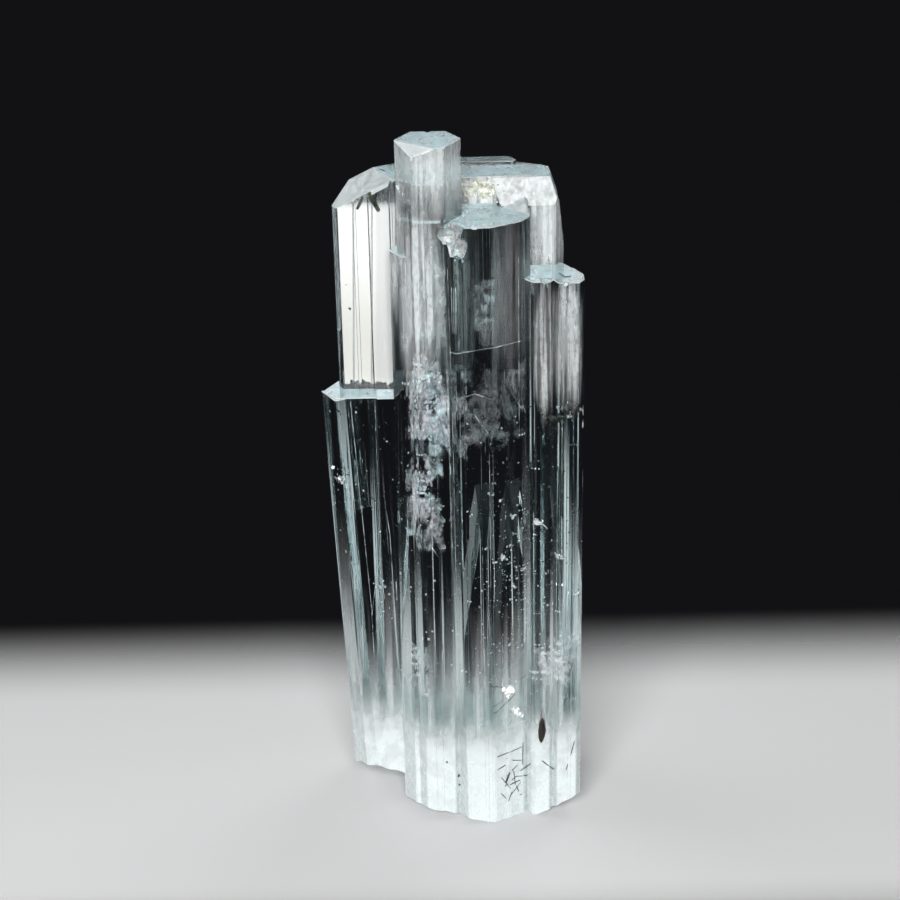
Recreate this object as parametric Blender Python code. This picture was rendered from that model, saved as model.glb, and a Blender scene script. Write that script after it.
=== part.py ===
"""Aquamarine crystal: a parallel growth of hexagonal beryl prisms, broken off across its base.

Every individual grew with the same orientation: one pair of prism faces looks along Y and the
others stand 60 degrees round from it, and the ends are flat basal planes with a few sloping
pyramid faces.  The individuals are grown together, so the crystal is one closed solid.
Lengths below are millimetres, and build_crystal() turns them into metres.
The origin is at the bottom centre, +Z runs up along the crystals, and -Y is the front.
"""

import math

import bmesh
import bpy
from mathutils import Vector

MM = 0.001

# Driving dimensions: heights of the flat tops above the broken base.
SLIM_TOP = 67.25            # slim crystal that stands free above the rest
MAIN_TOP = 62.85            # broad crystal behind
FRONT_TOP = 60.45           # clear crystal at the right of the front
COLLAR_TOP = 57.2           # growth round the foot of the slim crystal's free end
RIGHT_TOP = 55.05           # pair of crystals at the right edge
LEFT_TOP = 43.0             # leaning crystal at the left edge
BACK_TOPS = (47.5, 33.0, 52.0, 56.5, 30.0)      # lower crystals on the back, left to right

# Driving dimensions: how far the whole specimen reaches in plan.
HALF_WIDTH = 11.75
HALF_DEPTH = 7.11

MAIN_FRONT = -0.5           # y of the broad crystal's front face
SLIM_FRONT = -6.1           # y of the slim crystal's front face
FRONT_RIB = 0.06            # how far the clear crystal's front ribs stand out
FRONT_FRONT = FRONT_RIB - HALF_DEPTH    # y of the clear crystal's front face
LEFT_FRONT = -2.6           # y of the leaning crystal's front face
RIGHT_FRONT = -6.2          # y of the right-hand pair's front faces

LEFT_LEAN = 0.042           # sideways run of the left crystal for each millimetre of height
BELOW_BASE = 3.0            # prisms start this far below the base, and the break trims them

TAN_60 = math.tan(math.radians(60.0))

CRYSTAL_COLOUR = (0.80, 0.93, 0.94, 1.0)


# ---------------------------------------------------------------- outlines

def hexagon(front_y, front_x, side_x, back_y):
    """Corners of a hexagonal prism with its front face at front_y, counter-clockwise."""
    left_y = front_y + (front_x[0] - side_x[0]) * TAN_60
    right_y = front_y + (side_x[1] - front_x[1]) * TAN_60
    return [
        (front_x[0], front_y),
        (front_x[1], front_y),
        (side_x[1], right_y),
        (side_x[1] - (back_y - right_y) / TAN_60, back_y),
        (side_x[0] + (back_y - left_y) / TAN_60, back_y),
        (side_x[0], left_y),
    ]


def with_ribs(outline, edge, ribs):
    """Raises lengthwise ribs on one side of an outline.

    Each rib is (from, to, proud): where it starts and ends as a share of the side, and how
    far it stands out.  Its flanks slope at 60 degrees, as prism faces do.
    """
    start = Vector(outline[edge])
    end = Vector(outline[(edge + 1) % len(outline)])
    along = (end - start).normalized()
    outward = Vector((along.y, -along.x))
    length = (end - start).length
    corners = []
    for low, high, proud in ribs:
        flank = along * (abs(proud) / TAN_60)
        foot_a = start + along * (length * low)
        foot_b = start + along * (length * high)
        corners.append(foot_a)
        corners.append(foot_a + flank + outward * proud)
        corners.append(foot_b - flank + outward * proud)
        corners.append(foot_b)
    corners = [(c.x, c.y) for c in corners]
    return outline[: edge + 1] + corners + outline[edge + 1:]


# ---------------------------------------------------------------- solids

def prism(outline, top, lean=0.0):
    """A prism from below the base to its flat top; lean shifts it sideways with height."""
    mesh = bmesh.new()
    foot = [
        mesh.verts.new((x + (top + BELOW_BASE) * lean, y, -BELOW_BASE)) for x, y in outline
    ]
    face = mesh.faces.new(foot)
    face.normal_flip()
    lifted = bmesh.ops.extrude_face_region(mesh, geom=[face])
    for vertex in lifted["geom"]:
        if isinstance(vertex, bmesh.types.BMVert):
            vertex.co.x -= (top + BELOW_BASE) * lean
            vertex.co.z = top
    bmesh.ops.recalc_face_normals(mesh, faces=mesh.faces)
    return mesh


def slope(mesh, azimuth, dip, through):
    """Cuts a sloping end face that looks towards azimuth and lies dip degrees off flat."""
    turn = math.radians(azimuth)
    tilt = math.radians(dip)
    normal = Vector((
        math.sin(tilt) * math.cos(turn),
        math.sin(tilt) * math.sin(turn),
        math.cos(tilt),
    ))
    cut = bmesh.ops.bisect_plane(
        mesh,
        geom=mesh.verts[:] + mesh.edges[:] + mesh.faces[:],
        dist=1e-5,
        plane_co=Vector(through),
        plane_no=normal,
        clear_outer=True,
    )
    rim = [e for e in cut["geom_cut"] if isinstance(e, bmesh.types.BMEdge)]
    if rim:
        bmesh.ops.edgeloop_fill(mesh, edges=rim)
        bmesh.ops.recalc_face_normals(mesh, faces=mesh.faces)


def helper_object(name, mesh, collection):
    """Turns a bmesh in millimetres into a hidden object that only shapes the crystal."""
    bmesh.ops.scale(mesh, vec=(MM, MM, MM), verts=mesh.verts)
    data = bpy.data.meshes.new(name)
    mesh.to_mesh(data)
    mesh.free()
    helper = bpy.data.objects.new(name, data)
    helper.hide_render = True
    helper.display_type = "WIRE"
    collection.objects.link(helper)
    return helper


# ---------------------------------------------------------------- individuals

def broad_crystal():
    """The broad crystal behind, with pyramid faces round its flat top."""
    outline = hexagon(MAIN_FRONT, (-9.72, 8.5), (-10.2, 10.2), 5.95)
    outline = with_ribs(outline, 4, [(0.25, 0.42, 0.10), (0.70, 0.78, 0.06)])
    outline = with_ribs(outline, 3, [(0.44, 0.52, 0.12), (0.86, 0.93, 0.09)])
    outline = with_ribs(outline, 2, [(0.30, 0.45, 0.08)])
    outline = with_ribs(outline, 0, [
        (0.075, 0.092, 0.06),
        (0.148, 0.258, 0.22),
        (0.265, 0.290, 0.10),
        (0.50, 0.68, 0.08),
    ])
    mesh = prism(outline, MAIN_TOP)
    slope(mesh, 210, 30.5, (-4.6, MAIN_FRONT, MAIN_TOP))
    slope(mesh, 120, 45, (-6.86, 2.73, MAIN_TOP))
    slope(mesh, 90, 30, (0, 3.97, MAIN_TOP))
    slope(mesh, 60, 45, (7.64, 3.02, MAIN_TOP))
    slope(mesh, 0, 72, (8.95, 1.5, MAIN_TOP))
    slope(mesh, 0, 84, (9.55, 0, MAIN_TOP - 0.5))
    slope(mesh, 330, 50, (7.5, -0.3, MAIN_TOP))
    return mesh


def top_plate():
    """A thin last growth layer on the back of the broad crystal's flat top."""
    outline = hexagon(2.9, (-3.6, 5.9), (-4.3, 6.2), 4.45)
    return prism(outline, MAIN_TOP + 0.3)


def shoulder_crystal():
    """A slab grown on the broad crystal's right half, sloping down to the clear crystal."""
    outline = hexagon(-1.7, (4.6, 9.4), (3.9, 10.25), 3.0)
    mesh = prism(outline, MAIN_TOP - 0.06)
    slope(mesh, 270, 61, (6, MAIN_FRONT + 0.02, MAIN_TOP))
    slope(mesh, 0, 72, (9.0, 1.5, MAIN_TOP))
    slope(mesh, 0, 84, (9.6, 0, MAIN_TOP - 0.5))
    return mesh


def shoulder_foot():
    """The low frosted growth between the shoulder slab and the clear crystal's flat top."""
    outline = [
        (4.2, -1.45),
        (6.9, -4.15),
        (7.02, -1.3),
    ]
    mesh = prism(outline, MAIN_TOP)
    slope(mesh, 226, 27, (4.91, -1.96, FRONT_TOP - 0.05))
    slope(mesh, 345, 45, (6.8, -3.2, FRONT_TOP + 0.3))
    return mesh


def slim_crystal():
    """The slim crystal whose end stands free above the others, chipped at one corner."""
    outline = hexagon(SLIM_FRONT, (-3.0, -0.28), (-4.48, 1.26), -1.2)
    outline = with_ribs(outline, 0, [(0.34, 0.60, 0.05)])
    mesh = prism(outline, SLIM_TOP)
    slope(mesh, 232.6, 33.3, (-4.4, -3.5, SLIM_TOP))
    return mesh


def collar_crystal():
    """The wider growth round the slim crystal, which joins it to the broad one."""
    outline = hexagon(-4.9, (-4.1, -1.0), (-5.2, 0.6), 0.5)
    return prism(outline, COLLAR_TOP)


def web_crystal():
    """The growth behind the slim crystal, a ledge lower than the broad crystal's face."""
    outline = hexagon(-3.3, (-3.9, 3.3), (-4.25, 5.2), 1.2)
    return prism(outline, FRONT_TOP - 0.9)


def clear_crystal():
    """The clear crystal at the right of the front, bounded by faces of both prism orders."""
    vertex_x = 3.6
    corner_x = 6.3
    side_x = 7.1
    corner_y = FRONT_FRONT + (corner_x - vertex_x) / TAN_60
    side_y = corner_y + (side_x - corner_x) * TAN_60
    outline = [
        (1.1, FRONT_FRONT),
        (vertex_x, FRONT_FRONT),
        (corner_x, corner_y),
        (side_x, side_y),
        (side_x, -1.9),
        (5.4, 1.0),
        (0.6, 1.0),
        (-1.5, -2.7),
    ]
    outline = with_ribs(outline, 1, [(0.40, 0.56, 0.07)])
    outline = with_ribs(outline, 0, [(0.58, 0.74, FRONT_RIB), (0.86, 0.97, 0.05)])
    return prism(outline, FRONT_TOP)


def clear_crystal_edge():
    """The clear crystal's left edge, which leans a little against the rest of it."""
    outline = hexagon(FRONT_FRONT + 0.04, (0.2, 1.6), (-0.9, 2.2), -3.0)
    return prism(outline, FRONT_TOP - 0.03, 0.0125)


def right_crystal_inner():
    """The narrow crystal next to the clear one."""
    outline = [
        (7.0, -5.75),
        (7.45, -6.05),
        (8.72, -6.05),
        (9.12, -5.36),
        (9.12, -0.9),
        (6.6, -0.9),
        (6.6, -5.1),
    ]
    return prism(outline, RIGHT_TOP)


def right_crystal_outer():
    """The crystal at the right edge; a groove parts it from its neighbour."""
    outline = [
        (8.95, -5.20),
        (9.45, RIGHT_FRONT),
        (HALF_WIDTH - 0.49, RIGHT_FRONT),
        (HALF_WIDTH, RIGHT_FRONT + 0.49 * TAN_60),
        (HALF_WIDTH, -4.0),
        (10.0, -1.0),
        (8.95, -1.0),
    ]
    outline = with_ribs(outline, 4, [(0.30, 0.52, 0.08)])
    outline = with_ribs(outline, 1, [(0.55, 0.72, 0.05)])
    return prism(outline, RIGHT_TOP - 0.05)


def left_crystal():
    """The crystal at the left edge, which leans a little outwards."""
    outline = hexagon(LEFT_FRONT, (-10.35, -3.6), (-11.5, -2.6), 4.6)
    outline = with_ribs(outline, 5, [(0.30, 0.45, 0.07)])
    outline = with_ribs(outline, 4, [(0.20, 0.50, 0.12)])
    outline = with_ribs(outline, 0, [(0.53, 0.86, 0.22)])
    return prism(outline, LEFT_TOP, LEFT_LEAN)


def left_rib():
    """The ridge along the left crystal's outer front edge."""
    outline = [
        (-10.45, LEFT_FRONT - 0.42),
        (-9.45, LEFT_FRONT + 0.02),
        (-9.45, -0.6),
        (-HALF_WIDTH, -0.6),
        (-HALF_WIDTH, LEFT_FRONT - 0.42 + 1.3 * TAN_60),
    ]
    return prism(outline, LEFT_TOP - 0.04, LEFT_LEAN)


def back_crystals():
    """Lower individuals on the back of the broad crystal."""
    left = hexagon(4.4, (-6.0, -2.4), (-7.3, -1.1), HALF_DEPTH - 0.12)
    left = with_ribs(left, 3, [(0.12, 0.34, 0.12), (0.58, 0.70, 0.08)])
    left = prism(left, BACK_TOPS[0])
    slope(left, 90, 30, (0, 6.1, BACK_TOPS[0]))
    slope(left, 150, 45, (-6.5, 5.2, BACK_TOPS[0]))

    middle = hexagon(4.0, (0.4, 4.6), (-0.9, 6.0), 6.75)
    middle = with_ribs(middle, 3, [(0.40, 0.52, 0.10)])
    middle = prism(middle, BACK_TOPS[1])
    slope(middle, 30, 45, (5.5, 5.6, BACK_TOPS[1]))

    right = prism(hexagon(2.2, (8.2, 9.4), (6.9, 10.8), 5.3), BACK_TOPS[2])
    slope(right, 30, 45, (10.2, 3.9, BACK_TOPS[2]))

    narrow = prism(hexagon(4.9, (-1.3, 0.3), (-1.9, 0.9), 6.35), BACK_TOPS[3])
    slope(narrow, 90, 45, (0, 6.1, BACK_TOPS[3]))

    low = prism(hexagon(2.4, (-9.5, -8.4), (-10.5, -7.3), 4.7), BACK_TOPS[4])
    slope(low, 120, 30, (-9.0, 4.2, BACK_TOPS[4]))
    return [left, middle, right, narrow, low]


# ---------------------------------------------------------------- breaks

def shell_rise(x, y, edge, azimuth, steepness):
    """Height of a shell-like chip: nothing behind its edge, then steeper the further out."""
    turn = math.radians(azimuth)
    out = (x - edge[0]) * math.cos(turn) + (y - edge[1]) * math.sin(turn)
    if out <= 0.0:
        return 0.0
    return steepness * (out + 0.12 * out * out)


def rippled(height, x, y):
    """Adds the small waves of a rough break, fading out towards the resting surface."""
    ripple = math.sin(2.3 * x + 0.9 * y) * math.sin(1.7 * y - 1.1 * x + 0.6)
    return max(0.0, height + 0.16 * ripple * min(1.0, height))


def base_height(x, y):
    """Height of the main break above the surface that the specimen rests on."""
    rise = max(
        shell_rise(x, y, (0.9, -5.6), 235.0, 0.335),
        shell_rise(x, y, (-4.3, -4.2), 200.0, 1.1),
        shell_rise(x, y, (7.7, -5.5), 325.0, 0.50),
        shell_rise(x, y, (8.3, 3.2), 40.0, 0.45),
        shell_rise(x, y, (-6.4, 6.0), 120.0, 0.50),
        shell_rise(x, y, (3.4, 6.1), 85.0, 0.40),
    )
    return rippled(rise, x, y)


def left_height(x, y):
    """Height of the break under the leaning crystal, which ends above the rest."""
    rise = 2.95 - 0.28 * (x + 5.1) - 0.62 * (y - LEFT_FRONT)
    return rippled(rise, x, y)


def break_block(low, high, height_at):
    """A block with a rough top between two corners; it trims the prisms off from below."""
    cell = 0.95
    span_x = (high[0] - low[0]) / 2.0
    span_y = (high[1] - low[1]) / 2.0
    mesh = bmesh.new()
    bmesh.ops.create_grid(
        mesh,
        x_segments=max(3, round(2.0 * span_x / cell)),
        y_segments=max(3, round(2.0 * span_y / cell)),
        size=1.0,
    )
    for vertex in mesh.verts:
        inside = abs(vertex.co.x) < 0.99 and abs(vertex.co.y) < 0.99
        x = low[0] + span_x * (vertex.co.x + 1.0)
        y = low[1] + span_y * (vertex.co.y + 1.0)
        if inside:
            x += 0.26 * math.sin(5.1 * y + 3.3 * x)
            y += 0.26 * math.sin(4.3 * x - 2.7 * y)
        vertex.co = (x, y, height_at(x, y))
    bmesh.ops.triangulate(mesh, faces=mesh.faces)
    bmesh.ops.dissolve_limit(
        mesh, angle_limit=math.radians(0.5), verts=mesh.verts, edges=mesh.edges
    )
    bmesh.ops.triangulate(mesh, faces=mesh.faces)
    lowered = bmesh.ops.extrude_face_region(mesh, geom=mesh.faces[:])
    for vertex in lowered["geom"]:
        if isinstance(vertex, bmesh.types.BMVert):
            vertex.co.z = -BELOW_BASE - 2.0
    bmesh.ops.recalc_face_normals(mesh, faces=mesh.faces)
    return mesh


def base_breaks():
    """The main break and the higher one under the leaning crystal."""
    reach_x = HALF_WIDTH + 1.5
    reach_y = HALF_DEPTH + 1.5
    step_x = -5.24
    main = break_block((step_x - 0.12, -reach_y), (reach_x, reach_y), base_height)
    left = break_block((-reach_x, -reach_y + 0.4), (step_x, reach_y - 0.4), left_height)
    return [main, left]


def shell_dent(centre, radii, turn=0.0):
    """A shell-shaped dent: a coarse ball whose skin bites into the crystal."""
    mesh = bmesh.new()
    bmesh.ops.create_icosphere(mesh, subdivisions=2, radius=1.0)
    bmesh.ops.scale(mesh, vec=radii, verts=mesh.verts)
    angle = math.radians(turn)
    for vertex in mesh.verts:
        x = vertex.co.x * math.cos(angle) - vertex.co.y * math.sin(angle)
        y = vertex.co.x * math.sin(angle) + vertex.co.y * math.cos(angle)
        vertex.co = (x + centre[0], y + centre[1], vertex.co.z + centre[2])
    return mesh


def dents():
    """Chips and re-entrant dents where the individuals meet."""
    return [
        shell_dent((0.1, -7.35, 60.5), (1.3, 1.5, 2.8), 0.0),
        shell_dent((0.55, -6.35, 58.9), (1.15, 0.9, 1.35), 20.0),
        shell_dent((11.85, -6.0, 55.3), (0.6, 0.6, 0.5), 30.0),
    ]


# ---------------------------------------------------------------- assembly

def crystal_material():
    material = bpy.data.materials.new("aquamarine")
    material.use_nodes = True
    shader = material.node_tree.nodes["Principled BSDF"]
    shader.inputs["Base Color"].default_value = CRYSTAL_COLOUR
    shader.inputs["Roughness"].default_value = 0.05
    shader.inputs["Metallic"].default_value = 0.0
    shader.inputs["IOR"].default_value = 1.575
    shader.inputs["Transmission Weight"].default_value = 1.0
    return material


def boolean(target, operation, collection):
    modifier = target.modifiers.new(operation.lower(), "BOOLEAN")
    modifier.operation = operation
    modifier.solver = "EXACT"
    modifier.operand_type = "COLLECTION"
    modifier.collection = collection


def build_crystal():
    for old in list(bpy.data.objects):
        bpy.data.objects.remove(old)
    scene = bpy.context.scene
    growths = bpy.data.collections.new("growths")
    breaks = bpy.data.collections.new("breaks")
    scene.collection.children.link(growths)
    scene.collection.children.link(breaks)

    crystal = helper_object("aquamarine_crystal", broad_crystal(), scene.collection)
    crystal.hide_render = False
    crystal.display_type = "TEXTURED"
    crystal.data.materials.append(crystal_material())

    helper_object("top_plate", top_plate(), growths)
    helper_object("shoulder_crystal", shoulder_crystal(), growths)
    helper_object("shoulder_foot", shoulder_foot(), growths)
    helper_object("slim_crystal", slim_crystal(), growths)
    helper_object("collar_crystal", collar_crystal(), growths)
    helper_object("web_crystal", web_crystal(), growths)
    helper_object("clear_crystal", clear_crystal(), growths)
    helper_object("clear_crystal_edge", clear_crystal_edge(), growths)
    helper_object("right_crystal_inner", right_crystal_inner(), growths)
    helper_object("right_crystal_outer", right_crystal_outer(), growths)
    helper_object("left_crystal", left_crystal(), growths)
    helper_object("left_rib", left_rib(), growths)
    for number, mesh in enumerate(back_crystals(), start=1):
        helper_object(f"back_crystal_{number}", mesh, growths)

    for number, mesh in enumerate(base_breaks(), start=1):
        helper_object(f"base_break_{number}", mesh, breaks)
    for number, mesh in enumerate(dents(), start=1):
        helper_object(f"dent_{number}", mesh, breaks)

    boolean(crystal, "UNION", growths)
    boolean(crystal, "DIFFERENCE", breaks)


build_crystal()
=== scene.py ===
import math
import random
import bpy
from mathutils import Matrix, Vector, noise


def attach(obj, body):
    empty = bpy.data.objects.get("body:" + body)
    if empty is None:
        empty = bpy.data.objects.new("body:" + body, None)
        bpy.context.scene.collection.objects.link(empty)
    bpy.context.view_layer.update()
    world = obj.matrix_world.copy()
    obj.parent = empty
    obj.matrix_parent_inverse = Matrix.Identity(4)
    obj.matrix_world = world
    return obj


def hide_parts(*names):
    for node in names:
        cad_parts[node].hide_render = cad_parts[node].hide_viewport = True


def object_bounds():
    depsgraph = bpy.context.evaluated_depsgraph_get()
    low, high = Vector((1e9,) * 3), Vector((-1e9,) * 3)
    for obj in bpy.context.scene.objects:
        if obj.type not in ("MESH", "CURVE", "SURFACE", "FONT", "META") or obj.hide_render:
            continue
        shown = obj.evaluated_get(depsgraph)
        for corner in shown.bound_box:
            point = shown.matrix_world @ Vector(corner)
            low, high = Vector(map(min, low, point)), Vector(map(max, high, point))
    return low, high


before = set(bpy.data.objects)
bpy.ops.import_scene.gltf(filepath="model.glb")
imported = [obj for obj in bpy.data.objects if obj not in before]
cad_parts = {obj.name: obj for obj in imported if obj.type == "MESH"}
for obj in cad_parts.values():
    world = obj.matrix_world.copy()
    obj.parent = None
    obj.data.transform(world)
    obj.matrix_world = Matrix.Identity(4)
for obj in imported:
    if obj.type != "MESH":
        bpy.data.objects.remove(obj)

cadBox = [list(corner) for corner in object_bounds()]
mm = 0.001
tan60 = math.tan(math.radians(60.0))
halfWidth = cadBox[1][0] / mm
halfDepth = -cadBox[0][1] / mm
slimTop = cadBox[1][2] / mm

# ways of working that every piece shares

def clearSelection():
    bpy.ops.object.select_all(action="DESELECT")


def pickOnly(piece):
    clearSelection()
    piece.select_set(True)
    bpy.context.view_layer.objects.active = piece


def settle(piece):
    pickOnly(piece)
    bpy.ops.object.transform_apply(location=True, rotation=True, scale=True)

def startFrom(primitive, name, **settings):
    clearSelection()
    primitive(**settings)
    piece = bpy.context.object
    piece.name = name
    return piece


def editAll(*steps):
    # mesh tools, each with its settings, used in turn on the whole of the active piece
    bpy.ops.object.mode_set(mode="EDIT")
    bpy.ops.mesh.select_all(action="SELECT")
    for tool, settings in steps:
        tool(**settings)
    bpy.ops.object.mode_set(mode="OBJECT")


def drawUp(*lift):
    return bpy.ops.mesh.extrude_region_move, {"TRANSFORM_OT_translate": {"value": lift}}


def widen(share):
    return bpy.ops.transform.resize, {"value": (share, share, 1.0)}


def facesOutward():
    editAll((bpy.ops.mesh.normals_make_consistent, {"inside": False}))


def joinAll(name, pieces):
    clearSelection()
    for piece in pieces:
        piece.select_set(True)
    bpy.context.view_layer.objects.active = pieces[0]
    bpy.ops.object.join()
    joined = bpy.context.object
    joined.name = name
    settle(joined)
    return joined


def copyOf(template, place, turn=(0.0, 0.0, 0.0), size=(1.0, 1.0, 1.0)):
    # place and size in millimetres, turn in degrees
    twin = template.copy()
    twin.data = template.data.copy()
    bpy.context.scene.collection.objects.link(twin)
    twin.location = Vector(place) * mm
    twin.rotation_euler = [math.radians(angle) for angle in turn]
    twin.scale = size
    return twin


def discard(pieces):
    for piece in pieces:
        bpy.data.objects.remove(piece)


def feed(node, values):
    # each value is a number, a colour or what another node gives
    for key, value in values.items():
        if isinstance(value, bpy.types.NodeSocket):
            node.id_data.links.new(value, node.inputs[key])
        else:
            node.inputs[key].default_value = value


def addNode(tree, kind, settings=None, values=None):
    node = tree.nodes.new(kind)
    for key, value in (settings or {}).items():
        setattr(node, key, value)
    feed(node, values or {})
    return node


def newMaterial(name):
    material = bpy.data.materials.new(name)
    material.use_nodes = True
    tree = material.node_tree
    return material, tree, tree.nodes["Principled BSDF"]


def calc(tree, operation, first, second=0.0, clamp=False):
    settings = {"operation": operation, "use_clamp": clamp}
    return addNode(tree, "ShaderNodeMath", settings, {0: first, 1: second}).outputs[0]


def times(tree, first, *others):
    for other in others:
        first = calc(tree, "MULTIPLY", first, other)
    return first


def ramp(tree, value, low, high, atLow=0.0, atHigh=1.0, smooth=True):
    blend = "SMOOTHSTEP" if smooth else "LINEAR"
    values = {"Value": value, "From Min": low, "From Max": high, "To Min": atLow, "To Max": atHigh}
    return addNode(tree, "ShaderNodeMapRange", {"interpolation_type": blend}, values).outputs[0]


def vectorCalc(tree, operation, values):
    node = addNode(tree, "ShaderNodeVectorMath", {"operation": operation}, values)
    return node.outputs["Value" if operation == "LENGTH" else "Vector"]


def inMillimetres(tree):
    place = addNode(tree, "ShaderNodeTexCoord").outputs["Object"]
    return vectorCalc(tree, "SCALE", {0: place, "Scale": 1.0 / mm})


def axesOf(tree, vector):
    return addNode(tree, "ShaderNodeSeparateXYZ", None, {0: vector}).outputs


def speckle(tree, place, perMm, detail=3.0, roughness=0.5, shift=(0.0, 0.0, 0.0)):
    # noise with its own number of grains for each millimetre along x, y and z
    mapping = addNode(tree, "ShaderNodeMapping", None, {"Vector": place, "Scale": perMm, "Location": shift})
    values = {"Vector": mapping.outputs[0], "Scale": 1.0, "Detail": detail, "Roughness": roughness}
    return addNode(tree, "ShaderNodeTexNoise", None, values).outputs["Fac"]


def twoTone(tree, factor, first, second):
    values = {"Factor": factor, "A": first, "B": second}
    return addNode(tree, "ShaderNodeMix", {"data_type": "RGBA"}, values).outputs["Result"]


def bumped(tree, height, distance, under=None):
    values = {"Strength": 1.0, "Distance": distance * mm, "Height": height}
    if under is not None:
        values["Normal"] = under
    return addNode(tree, "ShaderNodeBump", None, values).outputs[0]


def speckledPaint(name, colours, pattern, roughness, depth, tones=(0.35, 0.65), grit=None,
                  alpha=None, others=None):
    # two colours mixed by a speckle, which sets the roughness too; the grit makes the skin uneven
    material, tree, shader = newMaterial(name)
    place = inMillimetres(tree)
    tone = speckle(tree, place, *pattern)
    feed(shader, others or {})
    feed(shader, {
        "Base Color": twoTone(tree, ramp(tree, tone, *tones), *colours),
        "Roughness": ramp(tree, tone, 0.3, 0.7, *roughness),
        "Normal": bumped(tree, speckle(tree, place, *grit) if grit else tone, depth),
    })
    if alpha:
        feed(shader, {"Alpha": ramp(tree, tone, *alpha)})
    return material


def finishPiece(piece, material):
    piece.data.materials.clear()
    piece.data.materials.append(material)
    for face in piece.data.polygons:
        face.material_index = 0
    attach(piece, "root")


# camera

camera = {
    "target": (-0.2, 6.0, 33.65), "distance": 205.3, "pitch": 25.0, "roll": -1.15, "lens": 86.0,
    "sensor": 36.0, "sight": (0.01, 5.0),
}
cameraData = bpy.data.cameras.new("camera")
cameraData.lens = camera["lens"]
cameraData.sensor_width = camera["sensor"]
cameraData.clip_start = camera["sight"][0]
cameraData.clip_end = camera["sight"][1]
cameraObject = bpy.data.objects.new("camera", cameraData)
bpy.context.scene.collection.objects.link(cameraObject)
pitch = math.radians(camera["pitch"])
forward = Vector((0.0, math.cos(pitch), -math.sin(pitch)))
standPoint = (Vector(camera["target"]) - forward * camera["distance"]) * mm
facing = forward.to_track_quat("-Z", "Y").to_matrix().to_4x4()
roll = Matrix.Rotation(math.radians(camera["roll"]), 4, "Z")
cameraObject.matrix_world = Matrix.Translation(standPoint) @ facing @ roll
bpy.context.scene.camera = cameraObject
print("camera placed")

# studio: a pale floor that fades out into a dark room, a painted pool of light that stands in for the
# lamps' fall-off; a large soft lamp in front, a weak one behind, and two fills that the glass doesn't mirror

studio = {
    "floorSize": (300.0, 70.0), "floorMiddle": 2.0, "floorDrop": 0.03,
    "floorColour": (0.46, 0.463, 0.466, 1.0), "floorRoughness": 0.85, "floorGloss": 0.2,
    "fadeBack": (16.0, 34.0), "fadeFront": (-30.0, -16.0), "fadeSide": (65.0, 140.0),
    "room": (0.006, 0.006, 0.007, 1.0),
    "lamps": {       # place, size, power, and whether the glass mirrors it
        "keyLamp": ((-30, -310, 205), (220, 120), 2.7, True),
        "backLamp": ((0, 320, 200), (200, 50), 0.08, True),
        "fillLampRight": ((210, 250, 260), (260, 200), 0.6, False),
        "fillLampLeft": ((-270, 110, 240), (260, 200), 0.45, False),
    },
    "aim": (0.0, 0.0, 30.0), "bounces": 32,
}
floor = startFrom(bpy.ops.mesh.primitive_plane_add, "floor", size=mm)
floor.scale = (*studio["floorSize"], 1.0)
floor.location = (0.0, studio["floorMiddle"] * mm, -studio["floorDrop"] * mm)
settle(floor)
floorPaint, tree, shader = newMaterial("paleTable")
axes = axesOf(tree, inMillimetres(tree))
# painted light: the floor's alpha fades to the dark room behind, in front and at the sides, as if the lamps'
# light fell off
reach = times(tree, ramp(tree, axes["Y"], *studio["fadeBack"], 1.0, 0.0),
              ramp(tree, axes["Y"], *studio["fadeFront"]),
              ramp(tree, calc(tree, "ABSOLUTE", axes["X"]), *studio["fadeSide"], 1.0, 0.0))
feed(shader, {
    "Base Color": studio["floorColour"], "Roughness": studio["floorRoughness"],
    "Specular IOR Level": studio["floorGloss"], "Alpha": reach,
})
floor.data.materials.append(floorPaint)

world = bpy.data.worlds.new("studioRoom")
bpy.context.scene.world = world
world.use_nodes = True
world.node_tree.nodes["Background"].inputs["Color"].default_value = studio["room"]

for name, (place, size, power, inGlass) in studio["lamps"].items():
    data = bpy.data.lights.new(name, "AREA")
    data.shape = "RECTANGLE"
    data.size = size[0] * mm
    data.size_y = size[1] * mm
    data.energy = power
    lamp = bpy.data.objects.new(name, data)
    bpy.context.scene.collection.objects.link(lamp)
    lamp.location = Vector(place) * mm
    lamp.rotation_euler = (Vector(studio["aim"]) - Vector(place)).to_track_quat("-Z", "Y").to_euler()
    lamp.visible_camera = False
    lamp.visible_glossy = inGlass
    lamp.visible_transmission = inGlass
bpy.context.scene.view_settings.view_transform = "Standard"
paths = bpy.context.scene.cycles
paths.max_bounces = studio["bounces"]
paths.glossy_bounces = studio["bounces"]
paths.transmission_bounces = studio["bounces"]
paths.transparent_max_bounces = studio["bounces"]
print("studio set up")

# the crystal: hexagonal prisms grown side by side, all drawn up from one level below the break;
# worked at one unit for each millimetre until the cutting is done

crystal = {
    "mainTop": 62.85, "frontTop": 60.45, "rightTop": 55.05, "leftTop": 43.0,
    "mainFront": -0.5, "leftFront": -2.6, "rightFront": -6.2, "frontRib": 0.06,
    "lean": 0.042, "foot": -3.0, "block": 80.0,
    "rim": 0.06,        # width of the worn edge round a flat top
    "corner": 0.09,     # width of the worn edge along a prism's corner
    "slopeEdge": 0.03,  # depth of the worn edge round a sloping end face
    "leastWorn": 0.6,   # edges shorter than this stay sharp
    "sameWay": 0.9999,  # two directions are taken as one above this
    "oddPoint": (131.7, -217.3, 89.1),
}


def hexagon(frontY, frontX, sideX, backY):
    leftY = frontY + (frontX[0] - sideX[0]) * tan60
    rightY = frontY + (sideX[1] - frontX[1]) * tan60
    return [
        (frontX[0], frontY),
        (frontX[1], frontY),
        (sideX[1], rightY),
        (sideX[1] - (backY - rightY) / tan60, backY),
        (sideX[0] + (backY - leftY) / tan60, backY),
        (sideX[0], leftY),
    ]


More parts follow.
